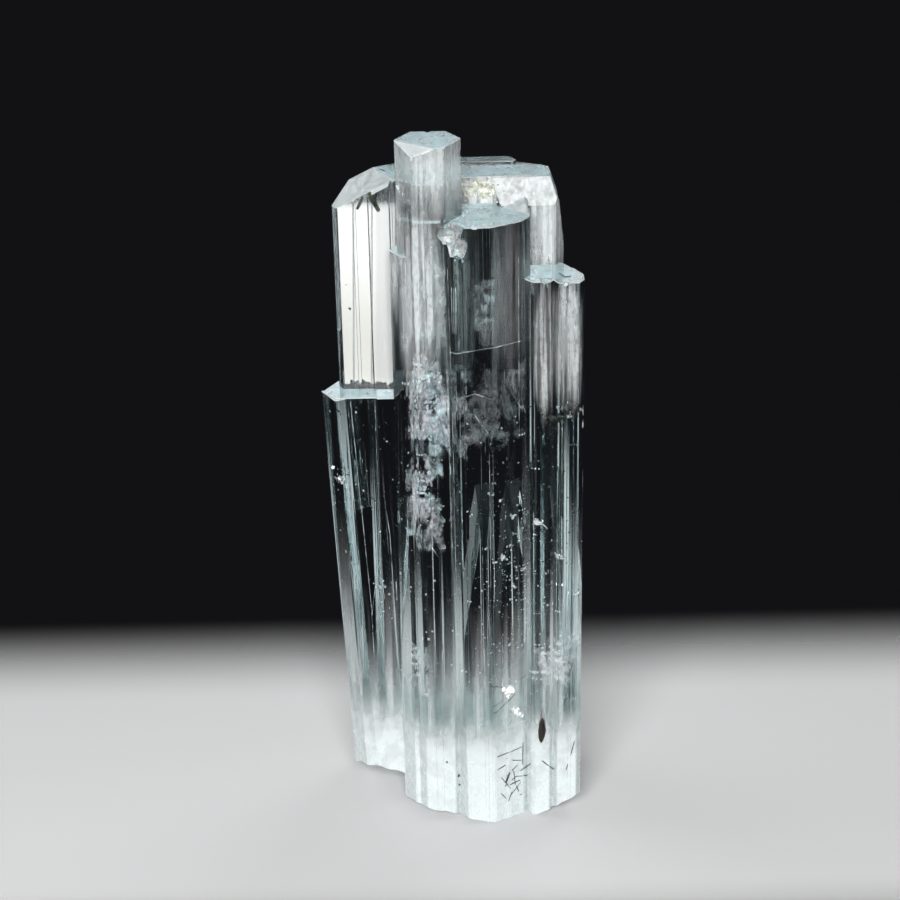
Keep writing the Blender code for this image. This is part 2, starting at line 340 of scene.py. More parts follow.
def withRibs(outline, side, ribs):
    # each rib: from and to as shares of the side, and how far it stands out
    start = Vector(outline[side])
    end = Vector(outline[(side + 1) % len(outline)])
    along = (end - start).normalized()
    outward = Vector((along.y, -along.x))
    length = (end - start).length
    corners = []
    for low, high, proud in ribs:
        flank = along * (abs(proud) / tan60)
        corners.append(start + along * (length * low))
        corners.append(start + along * (length * low) + flank + outward * proud)
        corners.append(start + along * (length * high) - flank + outward * proud)
        corners.append(start + along * (length * high))
    return outline[: side + 1] + [tuple(corner) for corner in corners] + outline[side + 1:]


def wornCorners(outline, width):
    # a corner between two sides makes two, unless one of the sides is only a few widths long
    worn = []
    for number, point in enumerate(outline):
        corner = Vector(point)
        before = Vector(outline[number - 1]) - corner
        after = Vector(outline[(number + 1) % len(outline)]) - corner
        if min(before.length, after.length) < 5.0 * width:
            worn.append(tuple(corner))
        else:
            worn.append(tuple(corner + before.normalized() * width))
            worn.append(tuple(corner + after.normalized() * width))
    return worn


def shrunk(outline, width):
    # the outline moved inwards by width, each corner along its bisector
    moved = []
    for number, point in enumerate(outline):
        corner = Vector(point)
        before = (corner - Vector(outline[number - 1])).normalized()
        after = (Vector(outline[(number + 1) % len(outline)]) - corner).normalized()
        normals = Vector((-before.y, before.x)) + Vector((-after.y, after.x))
        moved.append(tuple(corner + normals * (2.0 * width / normals.length_squared)))
    return moved


def putInOrder(piece):
    # a boolean leaves its parts in any order, so they are sorted by distance from one odd point
    bpy.context.scene.cursor.location = crystal["oddPoint"]
    pickOnly(piece)
    editAll((bpy.ops.mesh.sort_elements, {"type": "CURSOR_DISTANCE", "elements": {"VERT", "EDGE", "FACE"}}))
    bpy.context.scene.cursor.location = (0.0, 0.0, 0.0)


def gather(name, pieces):
    group = bpy.data.collections.new(name)
    bpy.context.scene.collection.children.link(group)
    for piece in pieces:
        for home in list(piece.users_collection):
            home.objects.unlink(piece)
        group.objects.link(piece)
    return group


def applyBoolean(target, operation, pieces):
    group = gather(operation.lower(), pieces)
    modifier = target.modifiers.new(operation.lower(), "BOOLEAN")
    modifier.operation = operation
    modifier.solver = "EXACT"
    modifier.operand_type = "COLLECTION"
    modifier.collection = group
    modifier.material_mode = "TRANSFER"
    pickOnly(target)
    bpy.ops.object.modifier_apply(modifier=modifier.name)
    discard(pieces)
    bpy.data.collections.remove(group)
    putInOrder(target)


def blockAbove(through, normal):
    # a large cube whose lower face lies in the plane
    block = startFrom(bpy.ops.mesh.primitive_cube_add, "block", size=crystal["block"])
    block.rotation_euler = normal.to_track_quat("Z", "Y").to_euler()
    block.location = Vector(through) + normal * (crystal["block"] / 2.0)
    settle(block)
    return block


def cutSlopes(prism, slopes):
    # sloping end faces, each given as azimuth, dip off flat and a point; then their worn edges
    planes = []
    for azimuth, dip, through in slopes:
        turn = math.radians(azimuth)
        tilt = math.radians(dip)
        normal = Vector((math.sin(tilt) * math.cos(turn), math.sin(tilt) * math.sin(turn), math.cos(tilt)))
        planes.append((through, normal))
    for plane in planes:
        applyBoolean(prism, "DIFFERENCE", [blockAbove(*plane)])
    mesh = prism.data
    facesAt = {}
    for face in mesh.polygons:
        for key in face.edge_keys:
            facesAt.setdefault(key, []).append(face.normal.copy())
    worn = []
    for key, normals in facesAt.items():
        first = mesh.vertices[key[0]].co
        second = mesh.vertices[key[1]].co
        onSlope = any(side.dot(normal) > crystal["sameWay"] for side in normals for place, normal in planes)
        if not onSlope or len(normals) != 2 or (first - second).length < crystal["leastWorn"]:
            continue
        if 0.0 < normals[0].dot(normals[1]) < 0.97:
            between = (normals[0] + normals[1]).normalized()
            worn.append((first.lerp(second, 0.5) - between * crystal["slopeEdge"], between))
    cut = []
    for through, normal in sorted(worn, key=lambda plane: round(plane[0].dot((1.0, 0.37, 0.11)), 3)):
        same = [1 for place, side in cut
                if side.dot(normal) > crystal["sameWay"] and abs(side.dot(through - place)) < 0.005]
        if not same:
            applyBoolean(prism, "DIFFERENCE", [blockAbove(through, normal)])
            cut.append((through, normal))


def growPrism(name, outline, top, ribs=None, slopes=(), lean=0.0):
    # a flat disc takes the outline, is drawn up twice, its top edge is drawn in and its ends are cut
    for side, shapes in (ribs or {}).items():
        outline = withRibs(outline, side, shapes)
    corners = wornCorners(outline, crystal["corner"])
    rim = crystal["rim"]
    height = top - rim - crystal["foot"]
    prism = startFrom(bpy.ops.mesh.primitive_circle_add, name,
                      vertices=len(corners), radius=1.0, fill_type="NGON")
    for vertex, (x, y) in zip(prism.data.vertices, corners):
        vertex.co = (x + height * lean, y, crystal["foot"])
    editAll(drawUp(-height * lean, 0.0, height), drawUp(0.0, 0.0, rim))
    drawnIn = shrunk(corners, rim)
    for vertex in prism.data.vertices:
        if vertex.co.z > top - 0.5 * rim:
            here = Vector((vertex.co.x, vertex.co.y))
            nearest = min(range(len(corners)), key=lambda i: (Vector(corners[i]) - here).length)
            vertex.co.x = drawnIn[nearest][0]
            vertex.co.y = drawnIn[nearest][1]
    facesOutward()
    cutSlopes(prism, slopes)
    return prism


def frontOutline(frontY, edgeX, cornerX, sideX):
    cornerY = frontY + (cornerX - edgeX) / tan60
    sideY = cornerY + (sideX - cornerX) * tan60
    return [(1.1, frontY), (edgeX, frontY), (cornerX, cornerY), (sideX, sideY),
            (sideX, -1.9), (5.4, 1.0), (0.6, 1.0), (-1.5, -2.7)]


mainTop = crystal["mainTop"]
frontTop = crystal["frontTop"]
rightTop = crystal["rightTop"]
leftTop = crystal["leftTop"]
mainFront = crystal["mainFront"]
frontFront = crystal["frontRib"] - halfDepth
rightFront = crystal["rightFront"]
leftFront = crystal["leftFront"]

# each prism: its outline, the ribs by side with the highest side first, the height of its top,
# and its sloping end faces as azimuth, dip off flat and a point
prisms = [
    {"name": "mainPrism", "outline": hexagon(mainFront, (-9.72, 8.5), (-10.2, 10.2), 5.95),
     "ribs": {4: [(0.25, 0.42, 0.1), (0.7, 0.78, 0.06)], 3: [(0.44, 0.52, 0.12), (0.86, 0.93, 0.09)],
              2: [(0.3, 0.45, 0.08)],
              0: [(0.075, 0.092, 0.06), (0.148, 0.258, 0.22), (0.265, 0.29, 0.1), (0.5, 0.68, 0.08)]},
     "top": mainTop,
     "slopes": [(210, 30.5, (-4.6, mainFront, mainTop)), (120, 45, (-6.86, 2.73, mainTop)),
                (90, 30, (0, 3.97, mainTop)), (60, 45, (7.64, 3.02, mainTop)),
                (0, 72, (8.95, 1.5, mainTop)), (0, 84, (9.55, 0, mainTop - 0.5)),
                (330, 50, (7.5, -0.3, mainTop))]},
    {"name": "topPlate", "outline": hexagon(2.9, (-3.6, 5.9), (-4.3, 6.2), 4.45), "top": mainTop + 0.3},
    {"name": "shoulderSlab", "outline": hexagon(-1.7, (4.6, 9.4), (3.9, 10.25), 3.0),
     "top": mainTop - 0.06,
     "slopes": [(270, 61, (6, mainFront + 0.02, mainTop)), (0, 72, (9.0, 1.5, mainTop)),
                (0, 84, (9.6, 0, mainTop - 0.5))]},
    {"name": "shoulderFoot", "outline": [(4.2, -1.45), (6.9, -4.15), (7.02, -1.3)], "top": mainTop,
     "slopes": [(226, 27, (4.91, -1.96, frontTop - 0.05)), (345, 45, (6.8, -3.2, frontTop + 0.3))]},
    {"name": "slimPrism", "outline": hexagon(-6.1, (-3.0, -0.28), (-4.48, 1.26), -1.2),
     "ribs": {0: [(0.34, 0.6, 0.05)]}, "top": slimTop, "slopes": [(232.6, 33.3, (-4.4, -3.5, slimTop))]},
    {"name": "slimCollar", "outline": hexagon(-4.9, (-4.1, -1.0), (-5.2, 0.6), 0.5), "top": 57.2},
    {"name": "slimWeb", "outline": hexagon(-3.3, (-3.9, 3.3), (-4.25, 5.2), 1.2), "top": frontTop - 0.9},
    {"name": "frontPrism", "outline": frontOutline(frontFront, 3.6, 6.3, 7.1),
     "ribs": {1: [(0.4, 0.56, 0.07)], 0: [(0.58, 0.74, crystal["frontRib"]), (0.86, 0.97, 0.05)]},
     "top": frontTop},
    {"name": "frontEdge", "outline": hexagon(frontFront + 0.04, (0.2, 1.6), (-0.9, 2.2), -3.0),
     "top": frontTop - 0.03, "lean": 0.0125},
    {"name": "rightInner", "top": rightTop,
     "outline": [(7.0, -5.75), (7.45, -6.05), (8.72, -6.05), (9.12, -5.36), (9.12, -0.9), (6.6, -0.9),
                 (6.6, -5.1)]},
    {"name": "rightOuter", "top": rightTop - 0.05,
     "outline": [(8.95, -5.2), (9.45, rightFront), (halfWidth - 0.49, rightFront),
                 (halfWidth, rightFront + 0.49 * tan60), (halfWidth, -4.0), (10.0, -1.0), (8.95, -1.0)],
     "ribs": {4: [(0.3, 0.52, 0.08)], 1: [(0.55, 0.72, 0.05)]}},
    {"name": "leftPrism", "outline": hexagon(leftFront, (-10.35, -3.6), (-11.5, -2.6), 4.6),
     "ribs": {5: [(0.3, 0.45, 0.07)], 4: [(0.2, 0.5, 0.12)], 0: [(0.53, 0.86, 0.22)]},
     "top": leftTop, "lean": crystal["lean"]},
    {"name": "leftRidge", "top": leftTop - 0.04, "lean": crystal["lean"],
     "outline": [(-10.45, leftFront - 0.42), (-9.45, leftFront + 0.02), (-9.45, -0.6),
                 (-halfWidth, -0.6), (-halfWidth, leftFront - 0.42 + 1.3 * tan60)]},
    {"name": "backLeft", "outline": hexagon(4.4, (-6.0, -2.4), (-7.3, -1.1), halfDepth - 0.12),
     "ribs": {3: [(0.12, 0.34, 0.12), (0.58, 0.7, 0.08)]}, "top": 47.5,
     "slopes": [(90, 30, (0, 6.1, 47.5)), (150, 45, (-6.5, 5.2, 47.5))]},
    {"name": "backMiddle", "outline": hexagon(4.0, (0.4, 4.6), (-0.9, 6.0), 6.75),
     "ribs": {3: [(0.4, 0.52, 0.1)]}, "top": 33.0,
     "slopes": [(30, 45, (5.5, 5.6, 33.0)), (92, 82, (0, 5.8, 33.0))]},
    {"name": "backRight", "outline": hexagon(2.2, (8.2, 9.4), (6.9, 10.8), 5.3), "top": 52.0,
     "slopes": [(30, 45, (10.2, 3.9, 52.0))]},
    {"name": "backNarrow", "outline": hexagon(4.9, (-1.3, 0.3), (-1.9, 0.9), 6.35), "top": 56.5,
     "slopes": [(90, 45, (0, 6.1, 56.5))]},
    {"name": "backLow", "outline": hexagon(2.4, (-9.5, -8.4), (-10.5, -7.3), 4.7), "top": 30.0,
     "slopes": [(120, 30, (-9.0, 4.2, 30.0))]},
]

# the breaks: a rough shell-like surface under the whole, chips along edges, four larger dents

breaks = {
    "cell": 0.34, "ripple": 0.16, "grain": 0.05, "depth": 5.0, "stray": 0.1, "curl": 0.12,
    "stepX": -5.24, "overlap": 0.12, "margin": 1.5, "inset": 0.4,
    "leftRise": 2.95, "leftMiddle": -5.1, "leftFall": (0.28, 0.62), "chipTurn": 37.0,
    "rings": 15.0, "ringsFrom": (0.48, 0.6, 0.64), "lumps": 0.24, "smoothWithin": 3.4,
    "shells": [      # edge point, azimuth it falls away to, steepness
        ((0.9, -5.6), 235.0, 0.335), ((-4.3, -4.2), 200.0, 1.1), ((7.7, -5.5), 325.0, 0.50),
        ((8.3, 3.2), 40.0, 0.45), ((-6.4, 6.0), 120.0, 0.50), ((3.4, 6.1), 85.0, 0.40),
    ],
    "dents": [       # centre, radii, turn
        ((0.1, -7.35, 60.5), (1.3, 1.5, 2.8), 0.0),
        ((-0.15, -6.25, 59.5), (0.85, 0.60, 0.80), 20.0),
        ((0.95, -6.75, 58.6), (0.75, 0.45, 0.95), -35.0),
        ((11.85, -6.0, 55.3), (0.6, 0.6, 0.5), 30.0),
    ],
    "chips": [       # centre, radii
        ((-11.55, -1.95, 41.1), (0.3, 0.5, 0.75)), ((-11.45, -2.05, 39.4), (0.25, 0.5, 0.9)),
        ((-10.5, -3.05, 35.1), (0.55, 0.25, 0.65)), ((-11.0, -1.2, 43.1), (0.3, 0.35, 0.25)),
        ((-3.0, -6.15, 66.5), (0.25, 0.2, 0.45)), ((1.3, -3.4, 65.9), (0.28, 0.28, 0.45)),
        ((-0.3, -6.1, 67.3), (0.35, 0.3, 0.22)), ((-1.6, -1.2, 67.3), (0.4, 0.3, 0.2)),
        ((5.75, -6.0, 60.5), (0.22, 0.3, 0.35)), ((2.3, -7.1, 60.5), (0.45, 0.22, 0.25)),
        ((7.1, -4.6, 60.4), (0.25, 0.35, 0.4)), ((9.6, -0.2, 61.6), (0.35, 0.45, 0.45)),
        ((10.0, -0.5, 59.2), (0.3, 0.3, 0.55)), ((9.25, 0.9, 62.75), (0.3, 0.4, 0.25)),
        ((10.1, -6.25, 54.95), (0.3, 0.22, 0.28)), ((8.2, -6.15, 55.1), (0.28, 0.22, 0.24)),
        ((11.8, -5.3, 42.6), (0.3, 0.35, 0.6)), ((11.8, -5.4, 41.3), (0.24, 0.3, 0.45)),
        ((7.6, -6.15, 31.9), (0.55, 0.24, 0.4)), ((-10.35, -0.45, 57.5), (0.2, 0.3, 0.6)),
        ((-10.0, -0.7, 60.5), (0.25, 0.3, 0.3)), ((-4.2, -4.0, 63.3), (0.3, 0.3, 0.35)),
        ((-5.0, 5.95, 55.0), (0.5, 0.3, 0.7)), ((4.8, 6.0, 44.0), (0.5, 0.3, 0.6)),
        ((10.9, 3.6, 49.0), (0.35, 0.35, 0.6)), ((-11.6, 0.3, 22.0), (0.35, 0.5, 0.8)),
        ((0.2, 6.4, 28.0), (0.5, 0.3, 0.7)), ((11.75, -4.2, 12.0), (0.28, 0.4, 0.8)),
    ],
}


def rippled(height, x, y):
    wave = math.sin(2.3 * x + 0.9 * y) * math.sin(1.7 * y - 1.1 * x + 0.6)
    grain = noise.noise(Vector((x * 1.7, y * 1.7, 3.0)))
    rough = (breaks["ripple"] * wave + breaks["grain"] * grain) * min(1.0, height)
    return max(0.0, height + rough)


def mainBreakHeight(x, y):
    rise = 0.0
    for edge, azimuth, steepness in breaks["shells"]:
        turn = math.radians(azimuth)
        out = (x - edge[0]) * math.cos(turn) + (y - edge[1]) * math.sin(turn)
        if out > 0.0:
            rise = max(rise, steepness * (out + breaks["curl"] * out * out))
    return rippled(rise, x, y)


def leftBreakHeight(x, y):
    fallX, fallY = breaks["leftFall"]
    height = breaks["leftRise"] - fallX * (x - breaks["leftMiddle"]) - fallY * (y - leftFront)
    return rippled(height, x, y)


def breakBlock(name, low, high, heightAt):
    # a fine grid takes the height of the break and is drawn down into a block
    spanX = (high[0] - low[0]) / 2.0
    spanY = (high[1] - low[1]) / 2.0
    block = startFrom(bpy.ops.mesh.primitive_grid_add, name, size=2.0,
                      x_subdivisions=round(2.0 * spanX / breaks["cell"]),
                      y_subdivisions=round(2.0 * spanY / breaks["cell"]))
    for vertex in block.data.vertices:
        x = low[0] + spanX * (vertex.co.x + 1.0)
        y = low[1] + spanY * (vertex.co.y + 1.0)
        if abs(vertex.co.x) < 0.99 and abs(vertex.co.y) < 0.99:
            x += breaks["stray"] * math.sin(5.1 * y + 3.3 * x)
            y += breaks["stray"] * math.sin(4.3 * x - 2.7 * y)
        vertex.co = (x, y, heightAt(x, y))
    triangles = (bpy.ops.mesh.quads_convert_to_tris, {})
    fewer = (bpy.ops.mesh.dissolve_limited, {"angle_limit": math.radians(0.4)})
    editAll(triangles, fewer, triangles, (bpy.ops.mesh.extrude_region_move, {}))
    for vertex in block.data.vertices:
        if vertex.select:
            vertex.co.z = -breaks["depth"]
    facesOutward()
    return block


def shellDent(name, centre, radii, turn, fineness, waves):
    # a ball whose skin carries the ripples that a shell-like chip leaves
    dent = startFrom(bpy.ops.mesh.primitive_ico_sphere_add, name, subdivisions=fineness, radius=1.0)
    for vertex in dent.data.vertices:
        ring = math.acos(max(-1.0, min(1.0, vertex.co.normalized() @ Vector(breaks["ringsFrom"]))))
        rough = noise.noise(vertex.co * 1.6 + Vector(centre)) + 0.4 * noise.noise(vertex.co * 4.2)
        vertex.co *= 1.0 + waves * math.sin(breaks["rings"] * ring) + breaks["lumps"] * rough
    dent.scale = radii
    dent.rotation_euler = (0.0, 0.0, math.radians(turn))
    dent.location = centre
    settle(dent)
    return dent


clearPlaceholder = bpy.data.materials.new("grownFace")
brokenPlaceholder = bpy.data.materials.new("brokenFace")

grown, *growths = [growPrism(**prism) for prism in prisms]
for piece in [grown] + growths:
    piece.data.materials.append(clearPlaceholder)
print("prisms grown:", len(prisms))
applyBoolean(grown, "UNION", growths)
print("prisms united:", len(grown.data.polygons), "faces")

reach = (halfWidth + breaks["margin"], halfDepth + breaks["margin"])
stepX = breaks["stepX"]
low = (-reach[0], breaks["inset"] - reach[1])
high = (stepX, reach[1] - breaks["inset"])
cutters = [
    breakBlock("mainBreak", (stepX - breaks["overlap"], -reach[1]), reach, mainBreakHeight),
    breakBlock("leftBreak", low, high, leftBreakHeight),
]
for number, (centre, radii, turn) in enumerate(breaks["dents"]):
    cutters.append(shellDent(f"dent{number}", centre, radii, turn, 3, 0.08))
for number, (centre, radii) in enumerate(breaks["chips"]):
    cutters.append(shellDent(f"chip{number}", centre, radii, breaks["chipTurn"] * number, 2, 0.05))
for piece in cutters:
    piece.data.materials.append(brokenPlaceholder)
applyBoolean(grown, "DIFFERENCE", cutters)
print("breaks cut:", len(grown.data.polygons), "faces")

# faces left by a break keep a mark that the material reads
brokenSlots = [i for i, slot in enumerate(grown.material_slots) if slot.material == brokenPlaceholder]
mark = grown.data.attributes.new("broken", "FLOAT", "FACE")
for face in grown.data.polygons:
    isBroken = face.material_index in brokenSlots
    mark.data[face.index].value = 1.0 if isBroken else 0.0
    inDent = any((face.center - Vector(dent[0])).length < breaks["smoothWithin"] for dent in breaks["dents"])
    face.use_smooth = isBroken and inDent
pickOnly(grown)
editAll((bpy.ops.mesh.remove_doubles, {"threshold": 0.0005}))
grown.scale = (mm, mm, mm)
settle(grown)
grown.name = "crystal"

# beryl: clear, faintly blue-green through its length, milky at the foot, frosted in places, with a painted
# reflection on the left face

beryl = {
    "ior": 1.575,
    "absorbColour": (0.5, 0.86, 0.89, 1.0), "absorbDensity": 16.0,
    "clearColour": (0.97, 0.995, 1.0, 1.0), "milkColour": (0.52, 0.575, 0.575, 1.0),
    # the next two colours paint a reflection on the left face, at its top and at its foot
    "reflectionColour": (0.6, 0.61, 0.6, 1.0), "reflectionLowColour": (0.47, 0.475, 0.445, 1.0),
    "topColour": (0.17, 0.53, 0.63, 1.0), "topVeil": (0.28, 0.56), "slopeVeil": (0.22, 0.5),
    "topDull": 0.12, "slopeDull": 0.58, "cloudDull": 0.42, "cloudClear": 0.08,
    "milkLevel": 5.6, "milkSway": (2.4, 1.6), "milkSoft": 7.0, "streakTop": 24.0,
    "striaeDepth": 0.008, "gritDepth": 0.05,
    "speckles": {    # grains for each millimetre along x, y and z, detail, roughness, shift
        "sway": ((0.22, 0.22, 0.02), 1.0),
        "feather": ((2.2, 2.2, 0.35), 4.0, 0.6, (4.0, 2.0, 8.0)),
        "curds": ((0.9, 0.9, 0.7), 4.0, 0.55, (2.0, 1.0, 6.0)),
        "streaks": ((1.1, 1.1, 0.03), 3.0, 0.55, (3.0, 5.0, 0.0)),
        "grains": ((2.8, 2.8, 1.6), 5.0, 0.65, (1.0, 9.0, 4.0)),
        "patches": ((2.2, 2.2, 0.07), 4.0, 0.6, (7.0, 2.0, 1.0)),
        "tear": ((1.8, 1.8, 1.2), 4.0, 0.6),
        "tops": ((0.7, 0.7, 0.7), 5.0, 0.62),
        "slopes": ((0.9, 0.9, 1.1), 5.0, 0.7),
        "striae": ((1.6, 1.6, 0.004), 1.0, 0.5),
    },
    "stray": {"X": 1.2, "Y": 1.2, "Z": 9.0},   # how far the edge of a frosted zone wanders
    "frost": [       # centre, radii, strength
        ((8.9, -1.0, 59.2), (3.2, 2.6, 5.6), 0.66), ((6.2, -1.0, 61.6), (3.8, 2.2, 2.4), 0.62),
        ((-7.9, 5.0, 53.5), (4.4, 5.2, 12.5), 0.6), ((-8.5, 1.0, 61.5), (2.6, 2.6, 2.4), 0.45),
        ((-1.6, -3.6, 66.0), (4.2, 4.6, 6.5), 0.6), ((-2.7, -5.6, 54.5), (2.3, 2.6, 9.5), 0.6),
        ((3.0, -0.6, 61.7), (2.8, 1.5, 1.9), 0.5), ((10.6, -6.2, 48.0), (1.6, 1.0, 5.0), 0.5),
        ((5.6, -6.3, 54.0), (2.4, 1.6, 9.0), 0.1), ((-4.6, -3.0, 57.5), (1.6, 3.0, 6.5), 0.6),
        ((-2.0, 6.4, 53.0), (5.0, 2.2, 12.0), 0.45), ((9.6, 2.0, 58.0), (2.5, 3.0, 6.0), 0.45),
        ((8.3, -6.1, 49.0), (1.3, 1.2, 6.8), 0.5), ((10.6, -6.2, 52.0), (1.6, 1.0, 3.5), 0.42),
    ],
    "bloom": [       # smooth pale haze: centre, radii, strength
        ((8.9, -0.8, 58.5), (2.6, 2.4, 5.0), 0.4), ((3.4, -0.5, 61.7), (3.4, 1.2, 2.2), 0.44),
        ((-1.6, -3.6, 66.5), (4.2, 4.6, 4.0), 0.34), ((-3.4, -5.6, 52.0), (1.4, 2.4, 8.0), 0.26),
        ((10.6, -6.2, 49.5), (1.6, 1.0, 4.0), 0.22),
    ],
    # a painted reflection: a white patch on the left face that stands in for a mirrored light
    "paintedReflection": {        # a white sheen just under the left face, crossed by thin lengthwise gaps
        "left": -10.4, "middle": -6.55, "right": -4.4, "foot": 43.6, "top": 60.6,
        "lean": 0.034, "gaps": [(-8.22, 0.10), (-6.59, 0.12)],
    },
}


def softSpot(tree, place, centre, radii):
    # 1 at the centre of an egg-shaped zone, falling to 0 at its edge
    shifted = vectorCalc(tree, "SUBTRACT", {0: place, 1: centre})
    distance = vectorCalc(tree, "LENGTH", {0: vectorCalc(tree, "DIVIDE", {0: shifted, 1: radii})})
    return ramp(tree, distance, 0.35, 1.15, 1.0, 0.0)


def withSpots(tree, cover, place, spots):
    for centre, radii, strength in spots:
        spot = times(tree, softSpot(tree, place, centre, radii), strength)
        cover = calc(tree, "MAXIMUM", cover, spot)
    return cover


def makeBeryl():
    material, tree, shader = newMaterial("clearBeryl")
    place = inMillimetres(tree)
    axes = axesOf(tree, place)
    height = axes["Z"]
    cloud = {name: speckle(tree, place, *pattern) for name, pattern in beryl["speckles"].items()}

    # milk at the foot, with a slowly changing level and streaks that fade upwards
    sway, feather = beryl["milkSway"]
    level = calc(tree, "ADD", beryl["milkLevel"] - 1.9, times(tree, cloud["sway"], sway))
    level = calc(tree, "ADD", level, times(tree, cloud["feather"], feather))
    milk = times(tree, ramp(tree, height, level, calc(tree, "ADD", level, beryl["milkSoft"]), 1.0, 0.0),
                 ramp(tree, cloud["curds"], 0.32, 0.62, 0.62, 1.0))
    rise = ramp(tree, height, beryl["milkLevel"], beryl["streakTop"], 0.45, 0.0, False)
    streaks = times(tree, ramp(tree, cloud["streaks"], 0.47, 0.66), rise)
    milky = calc(tree, "MAXIMUM", milk, streaks, True)

    # frosted zones, broken into fine lengthwise grains
    mottled = times(tree, ramp(tree, cloud["grains"], 0.32, 0.62, 0.62, 1.0),
                    ramp(tree, cloud["patches"], 0.4, 0.58, 0.2, 1.0))
    stray = {}
    for axis, reach in beryl["stray"].items():
        drift = speckle(tree, place, (1.6, 1.6, 0.12), 3.0, 0.6, (5.0, 1.0, reach))
        stray[axis] = times(tree, calc(tree, "SUBTRACT", drift, 0.5), reach)
    strayed = addNode(tree, "ShaderNodeCombineXYZ", None, stray).outputs[0]
    shaken = vectorCalc(tree, "ADD", {0: place, 1: strayed})
    frost = times(tree, withSpots(tree, 0.0, shaken, beryl["frost"]), mottled)
    frost = withSpots(tree, frost, shaken, beryl["bloom"])

    # the painted reflection: a white patch standing in for a mirrored light, only on faces that look to the
    # front, with a torn lower edge
    paintedReflection = beryl["paintedReflection"]
    facing = axesOf(tree, addNode(tree, "ShaderNodeNewGeometry").outputs["True Normal"])
    slant = times(tree, calc(tree, "SUBTRACT", height, paintedReflection["top"]), paintedReflection["lean"])
    across = calc(tree, "SUBTRACT", axes["X"], slant)
    reflectionFoot = calc(tree, "ADD", paintedReflection["foot"] - 0.8, times(tree, cloud["tear"], 1.6))
    limits = [
        ramp(tree, height, reflectionFoot, calc(tree, "ADD", reflectionFoot, 0.25)),
        ramp(tree, height, paintedReflection["top"] - 0.6, paintedReflection["top"] + 0.5, 1.0, 0.0),
        ramp(tree, across, paintedReflection["left"], paintedReflection["left"] + 0.15),
        ramp(tree, across, paintedReflection["middle"], paintedReflection["middle"] + 0.5, 1.0, 0.62),
        ramp(tree, across, paintedReflection["right"] - 0.3, paintedReflection["right"], 1.0, 0.0),
    ]
    for gap, width in paintedReflection["gaps"]:
        away = calc(tree, "ABSOLUTE", calc(tree, "SUBTRACT", across, gap))
        limits.append(ramp(tree, away, width * 0.5, width * 0.5 + 0.08, 0.3, 1.0))
    limits.append(ramp(tree, facing["Y"], -0.97, -0.9, 1.0, 0.0))
    limits.append(ramp(tree, axes["Y"], 0.2, 0.6, 1.0, 0.0))
    sheen = times(tree, *limits)

    broken = addNode(tree, "ShaderNodeAttribute", {"attribute_name": "broken"}).outputs["Fac"]
    brokenWhite = times(tree, broken, ramp(tree, cloud["grains"], 0.3, 0.7, 0.12, 0.38))
    veiled = calc(tree, "MAXIMUM", calc(tree, "MAXIMUM", milky, frost), brokenWhite, True)

    # a thin smooth veil on the flat tops and a duller one on slopes, apart from the ledges at the back
    upwards = ramp(tree, facing["Z"], 0.9, 0.97)
    notTop = calc(tree, "SUBTRACT", 1.0, upwards, True)
    ahead = ramp(tree, axes["Y"], 2.5, 3.5, 1.0, 0.05)
    topVeil = times(tree, upwards, ahead, ramp(tree, cloud["tops"], 0.3, 0.68, *beryl["topVeil"]))
    tilted = times(tree, ramp(tree, facing["Z"], 0.16, 0.24), notTop, ahead)
    slopeVeil = times(tree, tilted, ramp(tree, cloud["slopes"], 0.35, 0.68, *beryl["slopeVeil"]))
    veiled = calc(tree, "MAXIMUM", times(tree, veiled, notTop), topVeil, True)
    veiled = calc(tree, "MAXIMUM", veiled, slopeVeil, True)
    clouded = calc(tree, "MAXIMUM", veiled, sheen, True)

    tint = twoTone(tree, veiled, beryl["clearColour"],
                   twoTone(tree, upwards, beryl["milkColour"], beryl["topColour"]))
    # the painted reflection is darker towards its foot
    reflectionTint = twoTone(tree, ramp(tree, height, paintedReflection["foot"] + 4.0, paintedReflection["top"] - 3.0),
                       beryl["reflectionLowColour"], beryl["reflectionColour"])
    dull = calc(tree, "ADD", times(tree, upwards, beryl["topDull"]), times(tree, tilted, beryl["slopeDull"]))
    dull = calc(tree, "ADD", ramp(tree, clouded, 0.78, 1.0, 0.0, beryl["cloudDull"]), dull, True)

    # fine lengthwise growth lines on the prism faces, and grain where it is frosted
    sideways = calc(tree, "SUBTRACT", 1.0, calc(tree, "ABSOLUTE", facing["Z"]), True)
    striae = bumped(tree, times(tree, cloud["striae"], sideways), beryl["striaeDepth"])
    grit = times(tree, cloud["grains"], times(tree, clouded, notTop))
    absorb = addNode(tree, "ShaderNodeVolumeAbsorption", None,
                     {"Color": beryl["absorbColour"], "Density": beryl["absorbDensity"]})
    feed(shader, {
        "Base Color": twoTone(tree, sheen, tint, reflectionTint), "Roughness": dull, "IOR": beryl["ior"],
        "Transmission Weight": ramp(tree, clouded, 0.0, 1.0, 1.0, beryl["cloudClear"], False),
        "Normal": bumped(tree, grit, beryl["gritDepth"], striae),
    })
    feed(tree.nodes["Material Output"], {"Volume": absorb.outputs[0]})
    return material


finishPiece(grown, makeBeryl())
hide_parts("aquamarine_crystal")
bpy.data.materials.remove(clearPlaceholder)
bpy.data.materials.remove(brokenPlaceholder)
print("crystal finished")

# flaws and growths inside the crystal, placed by how far they lie behind its front faces

bpy.context.view_layer.update()


def behindFace(x, z, depth):
    place = grown.ray_cast(Vector((x, -30.0, z)) * mm, Vector((0.0, 1.0, 0.0)))[1]
    return Vector((x, place.y / mm + depth, z))


def makeRod(name, sides, sections):
    # a disc drawn up through the sections, each a height and a radius
    foot, radius = sections[0]
    rod = startFrom(bpy.ops.mesh.primitive_circle_add, name, vertices=sides, radius=radius * mm,
                    fill_type="NGON", location=(0.0, 0.0, foot * mm))
    settle(rod)
    steps = []
    for (low, before), (high, after) in zip(sections, sections[1:]):
        steps += [drawUp(0.0, 0.0, (high - low) * mm), widen(after / before)]
    editAll(*steps)
    facesOutward()
    return rod


